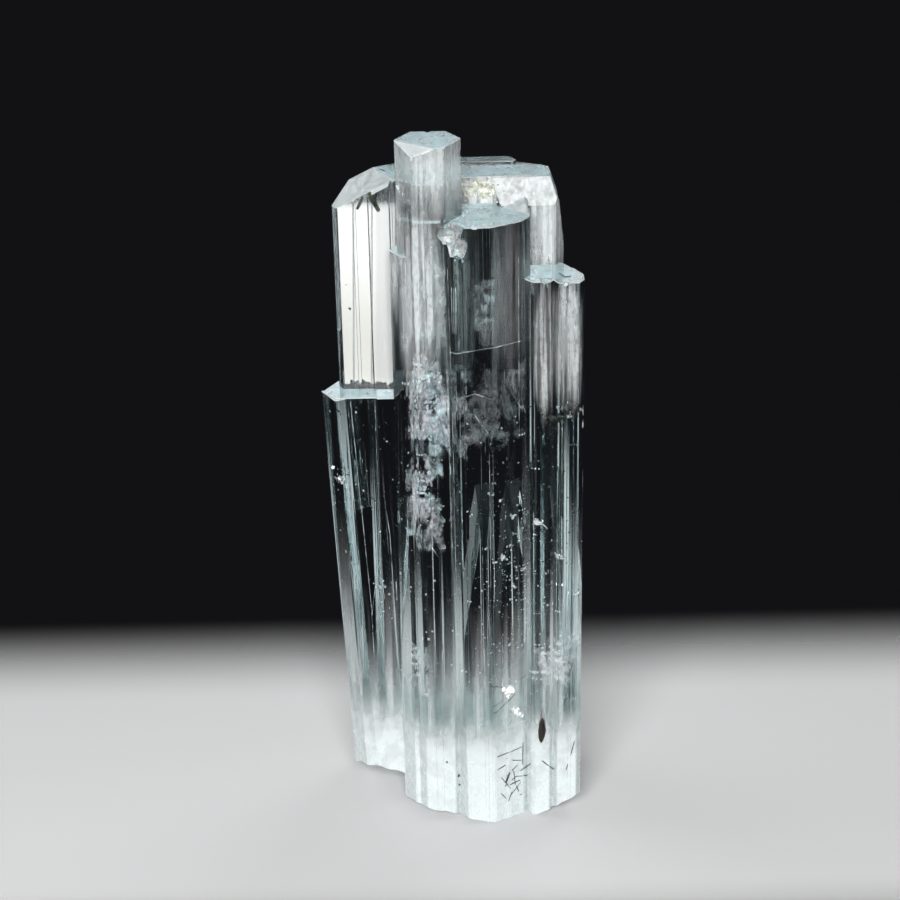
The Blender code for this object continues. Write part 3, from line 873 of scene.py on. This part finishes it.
def laidBetween(template, start, end, radius):
    # a copy of a template one millimetre long, laid from start to end
    start = Vector(start)
    end = Vector(end)
    turn = [math.degrees(angle) for angle in (end - start).to_track_quat("Z", "Y").to_euler()]
    return copyOf(template, (start + end) / 2.0, turn, (radius, radius, (end - start).length))


def smoothed(piece):
    for face in piece.data.polygons:
        face.use_smooth = True
    return piece


# dark tourmaline needles: slender ribbed rods, most of them near the foot

needles = {
    "radius": 0.055, "seed": 11, "dip": 0.25, "sunk": -0.15,
    "sections": [(-0.5, 0.35), (-0.47, 0.85), (-0.1, 1.0), (0.2, 0.92), (0.46, 0.8), (0.5, 0.25)],
    "paint": {
        "colours": [(0.008, 0.014, 0.011, 1.0), (0.034, 0.046, 0.031, 1.0)],
        "pattern": ((1.5, 1.5, 1.5), 3.0, 0.6), "roughness": (0.18, 0.45),
        "grit": ((14.0, 14.0, 3.0), 3.0), "depth": 0.02, "others": {"IOR": 1.64},
    },
    "strays": {      # a few more on the sides and the back
        "count": 14, "box": [(-9.0, 9.5), (1.5, 5.0), (9.0, 40.0)], "reach": (0.8, 0.4, 1.0),
        "thickness": 0.8,
    },
    "inside": [      # x and z of both ends, depth behind the face, thickness
        ((3.05, 15.06), (4.28, 14.4), 0.8, 0.8), ((5.46, 14.91), (6.62, 15.07), 0.5, 0.8),
        ((3.24, 12.71), (4.58, 13.49), 0.5, 0.7), ((3.4, 12.00), (5.36, 13.4), 0.7, 1.5),
        ((10.97, 17.06), (10.59, 15.59), 0.6, 0.8), ((4.3, 9.9), (5.1, 10.8), 0.6, 0.7),
        ((2.6, 16.2), (3.3, 17.0), 0.9, 0.6), ((9.9, 12.1), (10.5, 13.2), 0.5, 0.6),
        ((5.9, 17.9), (6.3, 18.9), 0.6, 0.6), ((7.3, 20.6), (7.6, 21.6), 0.9, 0.5),
    ],
    "atSkin": [      # x and z of both ends, thickness
        ((4.91, 5.21), (4.5, 4.08), 1.8), ((5.47, 4.46), (6.66, 4.06), 0.9),
        ((4.91, 3.8), (5.94, 3.87), 1.0), ((5.54, 3.4), (5.77, 2.63), 1.0),
        ((5.85, 2.16), (6.41, 2.24), 1.0), ((5.96, 4.91), (6.95, 5.71), 0.9),
        ((3.72, 5.9), (4.52, 6.16), 0.9), ((4.05, 3.1), (4.55, 2.3), 0.8), ((4.6, 4.9), (5.7, 5.7), 0.8),
        ((5.1, 2.9), (4.75, 1.9), 0.8), ((6.0, 3.2), (6.5, 3.9), 0.7), ((5.2, 6.4), (6.1, 6.05), 0.8),
        ((8.02, 6.25), (8.66, 5.62), 1.1), ((8.7, 5.6), (9.2, 4.98), 0.9),
        ((11.1, 8.5), (10.75, 6.9), 0.8), ((10.75, 6.9), (10.3, 5.23), 0.8),
        ((3.68, 7.36), (4.9, 7.5), 0.8), ((4.95, 7.46), (6.15, 7.58), 0.7),
        ((6.22, 8.02), (6.18, 5.5), 0.9), ((4.1, 4.9), (5.0, 3.3), 0.8), ((5.3, 5.2), (5.45, 3.5), 0.9),
        ((4.4, 3.75), (5.6, 4.5), 0.8), ((5.0, 2.6), (6.0, 3.6), 0.7), ((4.55, 6.9), (5.4, 6.3), 0.6),
        ((-7.92, 60.1), (-7.38, 61.2), 2.6), ((-6.85, 61.65), (-6.00, 59.95), 4.4),
    ],
    "topCheck": [    # both ends, thickness
        ((9.61, -3.86, 55.06), (10.07, -4.88, 55.06), 0.9),
        ((10.07, -4.88, 55.06), (10.6, -4.66, 55.06), 0.9),
        ((-5.96, 2.31, 62.86), (-5.42, 1.61, 62.86), 1.1),
        ((5.3, -0.85, 60.47), (5.62, -0.68, 60.47), 2.6),
    ],
}
template = makeRod("needleTemplate", 6, needles["sections"])
rods = []
for start, end, depth, thickness in needles["inside"]:
    first = behindFace(*start, depth)
    last = behindFace(*end, depth + needles["dip"])
    rods.append(laidBetween(template, first, last, needles["radius"] * thickness))
for start, end, thickness in needles["atSkin"]:
    radius = needles["radius"] * thickness
    first = behindFace(*start, needles["sunk"] * radius)
    last = behindFace(*end, needles["sunk"] * radius)
    rods.append(laidBetween(template, first, last, radius))
for start, end, thickness in needles["topCheck"]:
    rods.append(laidBetween(template, start, end, needles["radius"] * thickness))
chance = random.Random(needles["seed"])
strays = needles["strays"]
for number in range(strays["count"]):
    start = Vector([chance.uniform(*span) for span in strays["box"]])
    reach = Vector([chance.uniform(-far, far) for far in strays["reach"]])
    rods.append(laidBetween(template, start, start + reach, needles["radius"] * strays["thickness"]))
discard([template])
finishPiece(joinAll("tourmalineNeedles", rods), speckledPaint("tourmaline", **needles["paint"]))
print("needles:", len(rods))

# one dark spindle in the right part of the foot

spindle = {
    "place": (8.0, 9.75), "depth": 0.12, "lumps": 0.22, "lean": 0.05, "flatness": 0.55,
    "sections": [(-2.28, 0.05), (-1.7, 0.16), (-0.9, 0.36), (-0.1, 0.46), (0.7, 0.36), (1.4, 0.2),
                 (2.0, 0.1), (2.7, 0.03)],
    "paint": {
        "colours": [(0.004, 0.004, 0.003, 1.0), (0.018, 0.014, 0.01, 1.0)],
        "pattern": ((2.0, 2.0, 0.8), 4.0, 0.6), "tones": (0.4, 0.7), "roughness": (0.25, 0.6), "depth": 0.05,
    },
}
core = makeRod("darkSpindle", 10, spindle["sections"])
for vertex in core.data.vertices:
    place = vertex.co / mm
    swell = 1.0 + spindle["lumps"] * noise.noise(Vector((place.x * 2.0, place.y * 2.0, place.z * 1.3)))
    vertex.co.x = place.x * swell * mm + place.z * spindle["lean"] * mm
    vertex.co.y = place.y * swell * spindle["flatness"] * mm
core.location = behindFace(*spindle["place"], spindle["depth"]) * mm
settle(core)
finishPiece(smoothed(core), speckledPaint("spindleBrown", **spindle["paint"]))

# pale grains and crumbs, from single white ones to a fine dust


def makeGrain(name, fineness, seed):
    # a ball with flattened and swollen sides
    grain = startFrom(bpy.ops.mesh.primitive_ico_sphere_add, name, subdivisions=fineness, radius=mm)
    for vertex in grain.data.vertices:
        vertex.co *= 1.0 + 0.55 * noise.noise(vertex.co / mm * 1.3 + Vector((seed, 2.0 * seed, 0.0)))
    editAll((bpy.ops.mesh.dissolve_limited, {"angle_limit": math.radians(14.0)}))
    return grain


def tumbled(chance):
    return [chance.uniform(0.0, 360.0) for axis in range(3)]


def strewn(name, templates, places, chance):
    # places: point and radius
    crumbs = []
    for number, (place, radius) in enumerate(places):
        size = [radius * chance.uniform(0.75, 1.25) for axis in range(3)]
        crumbs.append(copyOf(templates[number % len(templates)], place, tumbled(chance), size))
    return joinAll(name, crumbs)


def drawSize(chance, low, high, power):
    # the higher the power, the more of them are small
    return low + (high - low) * chance.random() ** power


def drifted(chance, zone):
    # points thick in the middle of a zone and thin towards the sides of its box
    left, right, low, high = zone["box"]
    places = []
    while len(places) < zone["count"]:
        x = chance.gauss(*zone["x"])
        z = chance.gauss(*zone["z"])
        if left < x < right and low < z < high:
            place = behindFace(x, z, chance.uniform(*zone["depth"]))
            places.append((place, drawSize(chance, *zone["size"])))
    return places


def grainPaint(name, first, second, fineness, roughness):
    return speckledPaint(name, (first, second), ((fineness, fineness, fineness), 4.0, 0.6), roughness,
                         depth=0.03, grit=((9.0, 9.0, 9.0), 4.0))


grains = {
    "seed": 23, "heart": 0.62, "crumbs": 5, "crumbSize": (0.2, 0.5),
    # paint: two colours, fineness, roughness
    "whitePaint": ((0.8, 0.83, 0.84, 1.0), (0.97, 0.97, 0.95, 1.0), 2.0, (0.25, 0.6)),
    "dustPaint": ((0.55, 0.62, 0.66, 1.0), (0.92, 0.95, 0.97, 1.0), 0.7, (0.2, 0.5)),
    "dust": {        # middle and spread along x and z
        "count": 400, "x": (5.2, 2.0), "z": (24.0, 8.0), "box": (-4.0, 11.0, 8.5, 43.0),
        "depth": (0.3, 3.6), "size": (0.02, 0.13, 3),
    },
    "dustBack": {"count": 180, "box": [(-9.0, 9.0), (1.0, 5.2), (9.0, 41.0)], "size": (0.02, 0.13, 3)},
    "single": [      # x, z, depth, radius
        (4.98, 14.44, 0.1, 0.62), (4.74, 13.76, 0.1, 0.22), (5.26, 12.14, 0.1, 0.24),
        (5.55, 11.7, 0.1, 0.36), (5.85, 11.35, 0.1, 0.3), (6.1, 11.01, 0.1, 0.2),
        (3.79, 33.81, 2.4, 0.18), (5.05, 31.96, 1.9, 0.26), (4.73, 29.09, 2.0, 0.16),
        (4.07, 27.97, 2.2, 0.3), (6.03, 26.37, 1.4, 0.2), (5.00, 24.77, 1.9, 0.26),
        (4.58, 18.66, 1.9, 0.18), (9.88, 27.96, 1.0, 0.3), (8.15, 17.77, 0.9, 0.28),
        (9.35, 17.59, 1.0, 0.3), (9.92, 16.82, 1.0, 0.26), (7.48, 15.68, 0.9, 0.2),
        (8.23, 15.77, 0.9, 0.24), (11.05, 24.17, 0.9, 0.18), (-10.84, 35.64, 0.25, 0.24),
        (-10.3, 34.9, 0.25, 0.3), (-9.72, 34.33, 0.25, 0.18), (-4.39, 18.45, 1.0, 0.18),
        (-3.58, 17.89, 1.0, 0.26), (-3.65, 17.0, 1.0, 0.32), (-3.5, 16.1, 1.0, 0.26),
        (-3.3, 15.2, 1.0, 0.34), (-3.49, 14.07, 1.0, 0.24), (-2.84, 13.55, 1.0, 0.22),
        (-2.2, 20.4, 1.0, 0.12), (-2.55, 19.6, 1.0, 0.14), (7.9, 31.7, 0.2, 0.22),
        (-9.9, 27.3, 0.6, 0.14),
    ],
}
chance = random.Random(grains["seed"])
crumbTemplates = [makeGrain(f"crumb{number}", 2, 1.0 + number) for number in range(3)]
dustTemplates = [makeGrain(f"mote{number}", 1, 4.0 + number) for number in range(2)]
places = []
for x, z, depth, radius in grains["single"]:
    centre = behindFace(x, z, depth)
    places.append((centre, radius * grains["heart"]))
    for number in range(grains["crumbs"]):
        shift = Vector([chance.uniform(-1.0, 1.0) * radius for axis in range(3)])
        places.append((centre + shift, radius * chance.uniform(*grains["crumbSize"])))
whiteGrains = strewn("whiteGrains", crumbTemplates, places, chance)
finishPiece(whiteGrains, grainPaint("whiteGrain", *grains["whitePaint"]))
places = drifted(chance, grains["dust"])
for number in range(grains["dustBack"]["count"]):
    spot = Vector([chance.uniform(*span) for span in grains["dustBack"]["box"]])
    places.append((spot, drawSize(chance, *grains["dustBack"]["size"])))
paleDust = strewn("paleDust", dustTemplates, places, chance)
finishPiece(paleDust, grainPaint("paleMote", *grains["dustPaint"]))

# dark specks: a thin cloud, the torn dark seam across the right pair, and single ones

specks = {
    "paint": ((0.01, 0.013, 0.011, 1.0), (0.05, 0.06, 0.05, 1.0), 3.0, (0.2, 0.5)),
    "cloud": {
        "count": 110, "x": (8.5, 1.3), "z": (33.0, 8.0), "box": (7.2, 11.3, 18.0, 44.0),
        "depth": (0.2, 1.6), "size": (0.03, 0.1, 1),
    },
    "seam": {
        "count": 60, "left": 7.7, "length": 3.7, "height": 42.4, "wave": 0.9, "pace": 1.9,
        "strayX": 0.12, "strayZ": 0.5, "depth": (0.08, 0.5), "size": (0.05, 0.29, 2),
    },
    "single": [      # x, z, depth, radius
        (8.58, 58.04, 0.6, 0.2), (9.0, 57.4, 0.6, 0.16), (9.45, 56.8, 0.6, 0.22), (9.7, 56.26, 0.5, 0.14),
        (8.35, 55.9, 0.7, 0.26), (8.75, 55.3, 0.7, 0.22), (0.0, 4.45, -0.02, 0.16),
        (0.1, 3.41, -0.02, 0.1), (-1.09, 6.33, 0.0, 0.13), (-9.16, 53.05, 0.12, 0.13),
        (-8.89, 50.76, 0.12, 0.16), (-9.2, 54.0, 0.1, 0.08),
    ],
}
seam = specks["seam"]
places = drifted(chance, specks["cloud"])
for number in range(seam["count"]):
    along = seam["length"] * number / (seam["count"] - 1)
    x = seam["left"] + along + chance.uniform(-seam["strayX"], seam["strayX"])
    wave = seam["wave"] * math.sin(seam["pace"] * x)
    z = seam["height"] + wave + chance.uniform(-seam["strayZ"], seam["strayZ"])
    place = behindFace(x, z, chance.uniform(*seam["depth"]))
    places.append((place, drawSize(chance, *seam["size"])))
places += [(behindFace(x, z, depth), radius) for x, z, depth, radius in specks["single"]]
darkSpecks = strewn("darkSpecks", crumbTemplates, places, chance)
finishPiece(darkSpecks, grainPaint("darkSpeck", *specks["paint"]))

# a crust of cream grains low on the main crystal's front, just above the front crystal's top

crust = {
    "paint": ((0.2, 0.22, 0.15, 1.0), (0.68, 0.67, 0.59, 1.0), 2.4, (0.35, 0.75)),
    "count": 560, "x": (1.3, 5.0), "z": (60.5, 62.82), "depth": (-0.02, 0.06), "size": (0.022, 0.105, 1.6),
    "middle": (2.95, 61.7), "halves": (1.5, 1.25), "edge": 0.95, "fineness": 1.7, "patches": 1.4,
    "scatter": 0.7,
}
fine = crust["fineness"]
places = []
while len(places) < crust["count"]:
    x = chance.uniform(*crust["x"])
    z = chance.uniform(*crust["z"])
    away = ((x - crust["middle"][0]) / crust["halves"][0]) ** 2
    away += ((z - crust["middle"][1]) / crust["halves"][1]) ** 2
    patchy = crust["patches"] * noise.noise(Vector((x * fine, z * fine, 0.0)))
    if away + (patchy + crust["scatter"] * chance.random()) < crust["edge"]:
        size = drawSize(chance, *crust["size"])
        places.append((behindFace(x, z, chance.uniform(*crust["depth"])), size))
creamCrust = strewn("creamCrust", crumbTemplates, places, chance)
finishPiece(creamCrust, grainPaint("creamGrain", *crust["paint"]))
discard(crumbTemplates + dustTemplates)
print("grains:", len(grains["single"]), grains["dust"]["count"], "crust:", len(places))

# small broken facets that flash: thin plates set at all angles

facets = {
    "seed": 5, "spread": 0.6, "narrowest": 0.5, "thickness": 0.05, "chamfer": 0.86, "uneven": (0.78, 0.4),
    "warm": (0.96, 0.9, 0.98, 1.0), "cold": (0.8, 0.97, 0.98, 1.0), "metallic": 0.35, "depth": 0.04,
    "fields": [      # centre x, z, spread, depth range, count, size range
        ((-2.2, 46.4), (0.9, 1.2), (0.6, 1.6), 34, (0.10, 0.34)),
        ((-1.8, 42.5), (1.5, 2.6), (0.8, 2.2), 60, (0.10, 0.42)),
        ((-2.6, 34.8), (1.0, 2.6), (0.8, 2.0), 60, (0.10, 0.40)),
        ((10.5, 42.7), (0.7, 0.9), (0.3, 1.2), 24, (0.08, 0.26)),
        ((9.3, 17.2), (1.2, 1.3), (0.5, 1.6), 26, (0.10, 0.34)),
        ((-3.6, 16.2), (0.4, 2.0), (0.5, 1.2), 18, (0.10, 0.30)),
        ((0.6, 57.6), (0.6, 0.4), (0.05, 0.4), 8, (0.10, 0.26)),
        ((5.2, 28.5), (1.4, 6.0), (0.6, 3.0), 46, (0.05, 0.20)),
        ((-10.5, 35.0), (0.5, 0.8), (0.2, 0.7), 12, (0.10, 0.28)),
        ((-6.8, 22.5), (0.7, 2.5), (0.8, 2.0), 14, (0.10, 0.28)),
        ((9.0, 25.5), (1.0, 3.0), (0.4, 1.8), 18, (0.06, 0.22)),
    ],
}


def makePlate(name, corners, seed):
    # an uneven many-cornered plate with a chamfered upper side
    plate = startFrom(bpy.ops.mesh.primitive_circle_add, name, vertices=corners, radius=mm,
                      fill_type="NGON")
    least, swing = facets["uneven"]
    for number, vertex in enumerate(plate.data.vertices):
        vertex.co *= least + swing * noise.noise(Vector((number * 1.7, seed, 0.5)))
    editAll(drawUp(0.0, 0.0, facets["thickness"] * mm), widen(facets["chamfer"]))
    facesOutward()
    return plate


chance = random.Random(facets["seed"])
plateTemplates = [makePlate(f"plate{number}", 5 + number, 3.0 * number) for number in range(3)]
plates = []
for (x, z), (spreadX, spreadZ), depths, count, sizes in facets["fields"]:
    for number in range(count):
        spotX = chance.gauss(x, spreadX * facets["spread"])
        spotZ = chance.gauss(z, spreadZ * facets["spread"])
        spot = behindFace(spotX, spotZ, chance.uniform(*depths))
        width = chance.uniform(*sizes)
        turn = tumbled(chance)
        size = (width, width * chance.uniform(facets["narrowest"], 1.0), width)
        plates.append(copyOf(plateTemplates[number % 3], spot, turn, size))
discard(plateTemplates)
fractureFacets = joinAll("fractureFacets", plates)
material, tree, shader = newMaterial("flashingFacet")
place = inMillimetres(tree)
hue = speckle(tree, place, (0.8, 0.8, 0.8), 2.0, 0.5)
mottle = speckle(tree, place, (3.0, 3.0, 3.0), 3.0)
feed(shader, {
    "Base Color": twoTone(tree, ramp(tree, hue, 0.38, 0.62), facets["warm"], facets["cold"]),
    "Metallic": facets["metallic"], "Roughness": ramp(tree, mottle, 0.3, 0.7, 0.22, 0.5),
    "Normal": bumped(tree, speckle(tree, place, (5.0, 5.0, 2.0), 3.0), facets["depth"]),
})
finishPiece(fractureFacets, material)
print("facets:", len(plates))

# veils: crumpled sheets of tiny cracks, torn at the rim and broken up by holes

veils = {
    "ior": 1.33, "depth": 0.05, "warm": (0.93, 0.92, 0.97, 1.0), "cold": (0.74, 0.9, 0.93, 1.0),
    "fine": 0.45, "slack": 0.5, "forward": 0.3, "stray": 0.12, "holes": 0.34, "rim": 0.62, "soft": 0.3,
    "sheets": [      # name, x range, z range, depth, crumple, cell, tear, weight
        ("upper", (-3.9, 0.45), (38.2, 48.3), 1.5, 0.9, 0.16, 0.14, 1.0),
        ("upperBack", (-3.4, 1.4), (37.2, 47.0), 2.6, 1.0, 0.20, 0.04, 0.7),
        ("lower", (-4.1, -0.8), (28.2, 38.6), 1.5, 0.9, 0.16, 0.06, 0.9),
        ("collar", (-4.0, 0.4), (47.6, 57.5), 1.9, 0.7, 0.22, 0.06, 0.55),
        ("right", (7.4, 11.2), (14.0, 20.0), 0.8, 0.6, 0.16, 0.06, 0.9),
        ("wisps", (0.8, 6.6), (38.6, 47.4), 2.4, 0.8, 0.18, 0.0, 0.32),
        ("patch", (2.1, 3.6), (49.0, 55.4), 1.6, 0.3, 0.12, 0.30, 0.45),
        ("foot", (-4.2, -2.5), (12.5, 19.5), 0.9, 0.5, 0.14, 0.10, 0.8),
    ],
}


def ease(share):
    share = min(1.0, max(0.0, share))
    return share * share * (3.0 - 2.0 * share)


def tornSheet(name, spanX, spanZ, depth, crumple, cell, tear, weight, seed):
    # a grid crumpled by noise; what lies in a hole or beyond the torn rim is deleted
    sheet = startFrom(bpy.ops.mesh.primitive_grid_add, name, size=2.0,
                      x_subdivisions=round((spanX[1] - spanX[0]) / cell),
                      y_subdivisions=round((spanZ[1] - spanZ[0]) / cell))
    middle = behindFace((spanX[0] + spanX[1]) / 2.0, (spanZ[0] + spanZ[1]) / 2.0, depth)
    keep = []
    for vertex in sheet.data.vertices:
        across = vertex.co.x
        along = vertex.co.y
        x = spanX[0] + (across + 1.0) / 2.0 * (spanX[1] - spanX[0])
        z = spanZ[0] + (along + 1.0) / 2.0 * (spanZ[1] - spanZ[0])
        folds = noise.noise(Vector((x * 0.7, z * 0.35, seed)))
        fine = noise.noise(Vector((x * 2.3, z * 1.5, seed + 5.0)))
        inward = max(0.0, crumple * (folds + veils["fine"] * fine) + veils["slack"] * crumple)
        rim = max(abs(across), abs(along)) ** 4
        holes = noise.noise(Vector((x * 1.1, z * 0.5, seed + 9.0))) + 0.4 * fine
        keep.append(ease((holes + tear + veils["holes"] - veils["rim"] * rim) / veils["soft"]))
        y = middle.y + inward - veils["forward"] * crumple
        vertex.co = Vector((x + veils["stray"] * fine, y, z)) * mm
    fade = sheet.data.attributes.new("fade", "FLOAT", "POINT")
    for number, share in enumerate(keep):
        fade.data[number].value = share * weight
    bpy.ops.object.mode_set(mode="EDIT")
    bpy.ops.mesh.select_all(action="DESELECT")
    bpy.ops.object.mode_set(mode="OBJECT")
    for face in sheet.data.polygons:
        face.select = max(keep[corner] for corner in face.vertices) <= 0.0
    bpy.ops.object.mode_set(mode="EDIT")
    bpy.ops.mesh.select_mode(type="FACE")
    bpy.ops.mesh.delete(type="FACE")
    bpy.ops.mesh.select_mode(type="VERT")
    bpy.ops.object.mode_set(mode="OBJECT")
    return smoothed(sheet)


sheets = []
for number, sheet in enumerate(veils["sheets"]):
    sheets.append(tornSheet(*sheet, 3.0 + 7.0 * number))
iceVeils = joinAll("iceVeils", sheets)
material, tree, shader = newMaterial("iceVeil")
place = inMillimetres(tree)
hue = speckle(tree, place, (0.45, 0.45, 0.30), 3.0, 0.55, (5.0, 0.0, 2.0))
lace = speckle(tree, place, (1.7, 1.7, 1.0), 5.0, 0.60, (1.0, 4.0, 0.0))
cloud = speckle(tree, place, (0.8, 0.8, 0.35), 3.0, 0.55, (8.0, 1.0, 3.0))
fade = addNode(tree, "ShaderNodeAttribute", {"attribute_name": "fade"}).outputs["Fac"]
feed(shader, {
    "Base Color": twoTone(tree, ramp(tree, hue, 0.42, 0.6), veils["warm"], veils["cold"]),
    "Alpha": times(tree, ramp(tree, lace, 0.3, 0.7, 0.12, 1.0),
                   ramp(tree, cloud, 0.34, 0.62, 0.45, 1.0), fade),
    "Roughness": ramp(tree, lace, 0.3, 0.7, 0.2, 0.5), "IOR": veils["ior"],
    "Normal": bumped(tree, lace, veils["depth"]),
})
finishPiece(iceVeils, material)
print("veils:", len(sheets))

# long bright growth tubes and thin healed cracks

tubes = {
    "radius": 0.03, "gap": 0.15,
    "sections": [(-0.5, 0.25), (-0.48, 0.8), (0.0, 1.0), (0.48, 0.8), (0.5, 0.25)],
    "paint": {
        "colours": [(0.62, 0.74, 0.8, 1.0), (0.95, 0.97, 0.98, 1.0)], "pattern": ((1.0, 1.0, 0.5), 4.0, 0.6),
        "roughness": (0.2, 0.45), "depth": 0.02, "alpha": (0.42, 0.6, 0.25, 0.9),
    },
    "lines": [       # x and z from below to above, depth behind the face, thickness
        ([(0.48, 13.9), (0.42, 27.4), (0.51, 43.8), (0.36, 50.5), (0.30, 56.4)], 1.2, 1.0),
        ([(-0.37, 14.3), (-0.23, 22.2)], 1.0, 0.9),
        ([(0.53, 50.6), (0.56, 54.9)], 0.8, 2.0),
        ([(-7.69, 9.0), (-7.93, 21.8), (-8.50, 32.2), (-9.11, 42.6)], 0.4, 1.1),
        ([(-5.45, 11.4), (-5.94, 29.1), (-6.34, 32.7), (-6.72, 42.6)], 0.5, 1.1),
        ([(-5.48, 22.1), (-5.51, 24.1)], 0.6, 1.4),
        ([(-7.91, 20.25), (-7.5, 23.3), (-7.06, 25.9)], 1.0, 1.3),
        ([(-6.62, 21.95), (-7.06, 25.9)], 1.0, 0.9),
        ([(-1.66, 9.7), (-1.58, 7.8), (0.20, 7.7)], 0.6, 0.9),
        ([(0.47, 48.48), (2.60, 48.86), (4.36, 49.11), (6.11, 49.35)], 1.3, 1.3),
        ([(0.51, 44.23), (2.1, 44.75), (3.52, 44.17)], 1.4, 0.9),
        ([(4.98, 44.29), (6.69, 41.48)], 1.4, 0.8),
        ([(2.08, 42.65), (3.22, 40.87)], 1.4, 1.2),
        ([(-2.30, 29.37), (-1.43, 27.90)], 2.0, 1.0),
        ([(7.16, 31.48), (7.84, 31.87), (8.54, 31.09)], 0.15, 2.2),
        ([(10.11, 53.27), (11.0, 50.26)], 0.5, 1.6),
        ([(2.55, 9.0), (2.62, 19.5)], 0.9, 1.0),
        ([(4.15, 9.0), (4.20, 20.5)], 0.7, 1.0),
        ([(1.55, 9.5), (1.58, 15.0)], 0.9, 0.8),
        ([(6.3, 9.5), (6.32, 26.0)], 1.0, 0.8),
        ([(-2.6, 9.5), (-2.5, 13.2)], 0.9, 0.9),
        ([(3.3, 25.0), (3.32, 39.0)], 1.4, 0.6),
        ([(5.75, 40.0), (5.78, 57.0)], 1.4, 0.7),
    ],
}
template = makeRod("tubeTemplate", 8, tubes["sections"])
pieces = []
for points, depth, thickness in tubes["lines"]:
    fixed = [behindFace(x, z, depth) for x, z in points]
    level = sum(point.y for point in fixed) / len(fixed)
    fixed = [Vector((point.x, max(level, point.y - depth + tubes["gap"]), point.z)) for point in fixed]
    for first, last in zip(fixed, fixed[1:]):
        pieces.append(laidBetween(template, first, last, tubes["radius"] * thickness))
discard([template])
growthTubes = smoothed(joinAll("growthTubes", pieces))
finishPiece(growthTubes, speckledPaint("healedTube", **tubes["paint"]))
print("tubes:", len(pieces))

# a cream spike that hangs down inside the slim column

spike = {
    "top": (-3.43, 33.1), "tip": (-3.58, 22.8), "depth": 1.0, "width": 0.27,
    "sections": [(-0.5, 0.06), (-0.36, 0.26), (-0.12, 0.55), (0.2, 0.82), (0.42, 1.0), (0.5, 0.75)],
    "paint": ((0.6, 0.56, 0.44, 1.0), (0.88, 0.85, 0.74, 1.0), 1.2, (0.3, 0.6)),
}
template = makeRod("spikeTemplate", 7, spike["sections"])
lower = behindFace(*spike["tip"], spike["depth"])
upper = behindFace(*spike["top"], spike["depth"])
creamSpike = laidBetween(template, lower, upper, spike["width"])
creamSpike.name = "creamSpike"
settle(creamSpike)
discard([template])
finishPiece(creamSpike, grainPaint("creamSilk", *spike["paint"]))
print("spike placed")
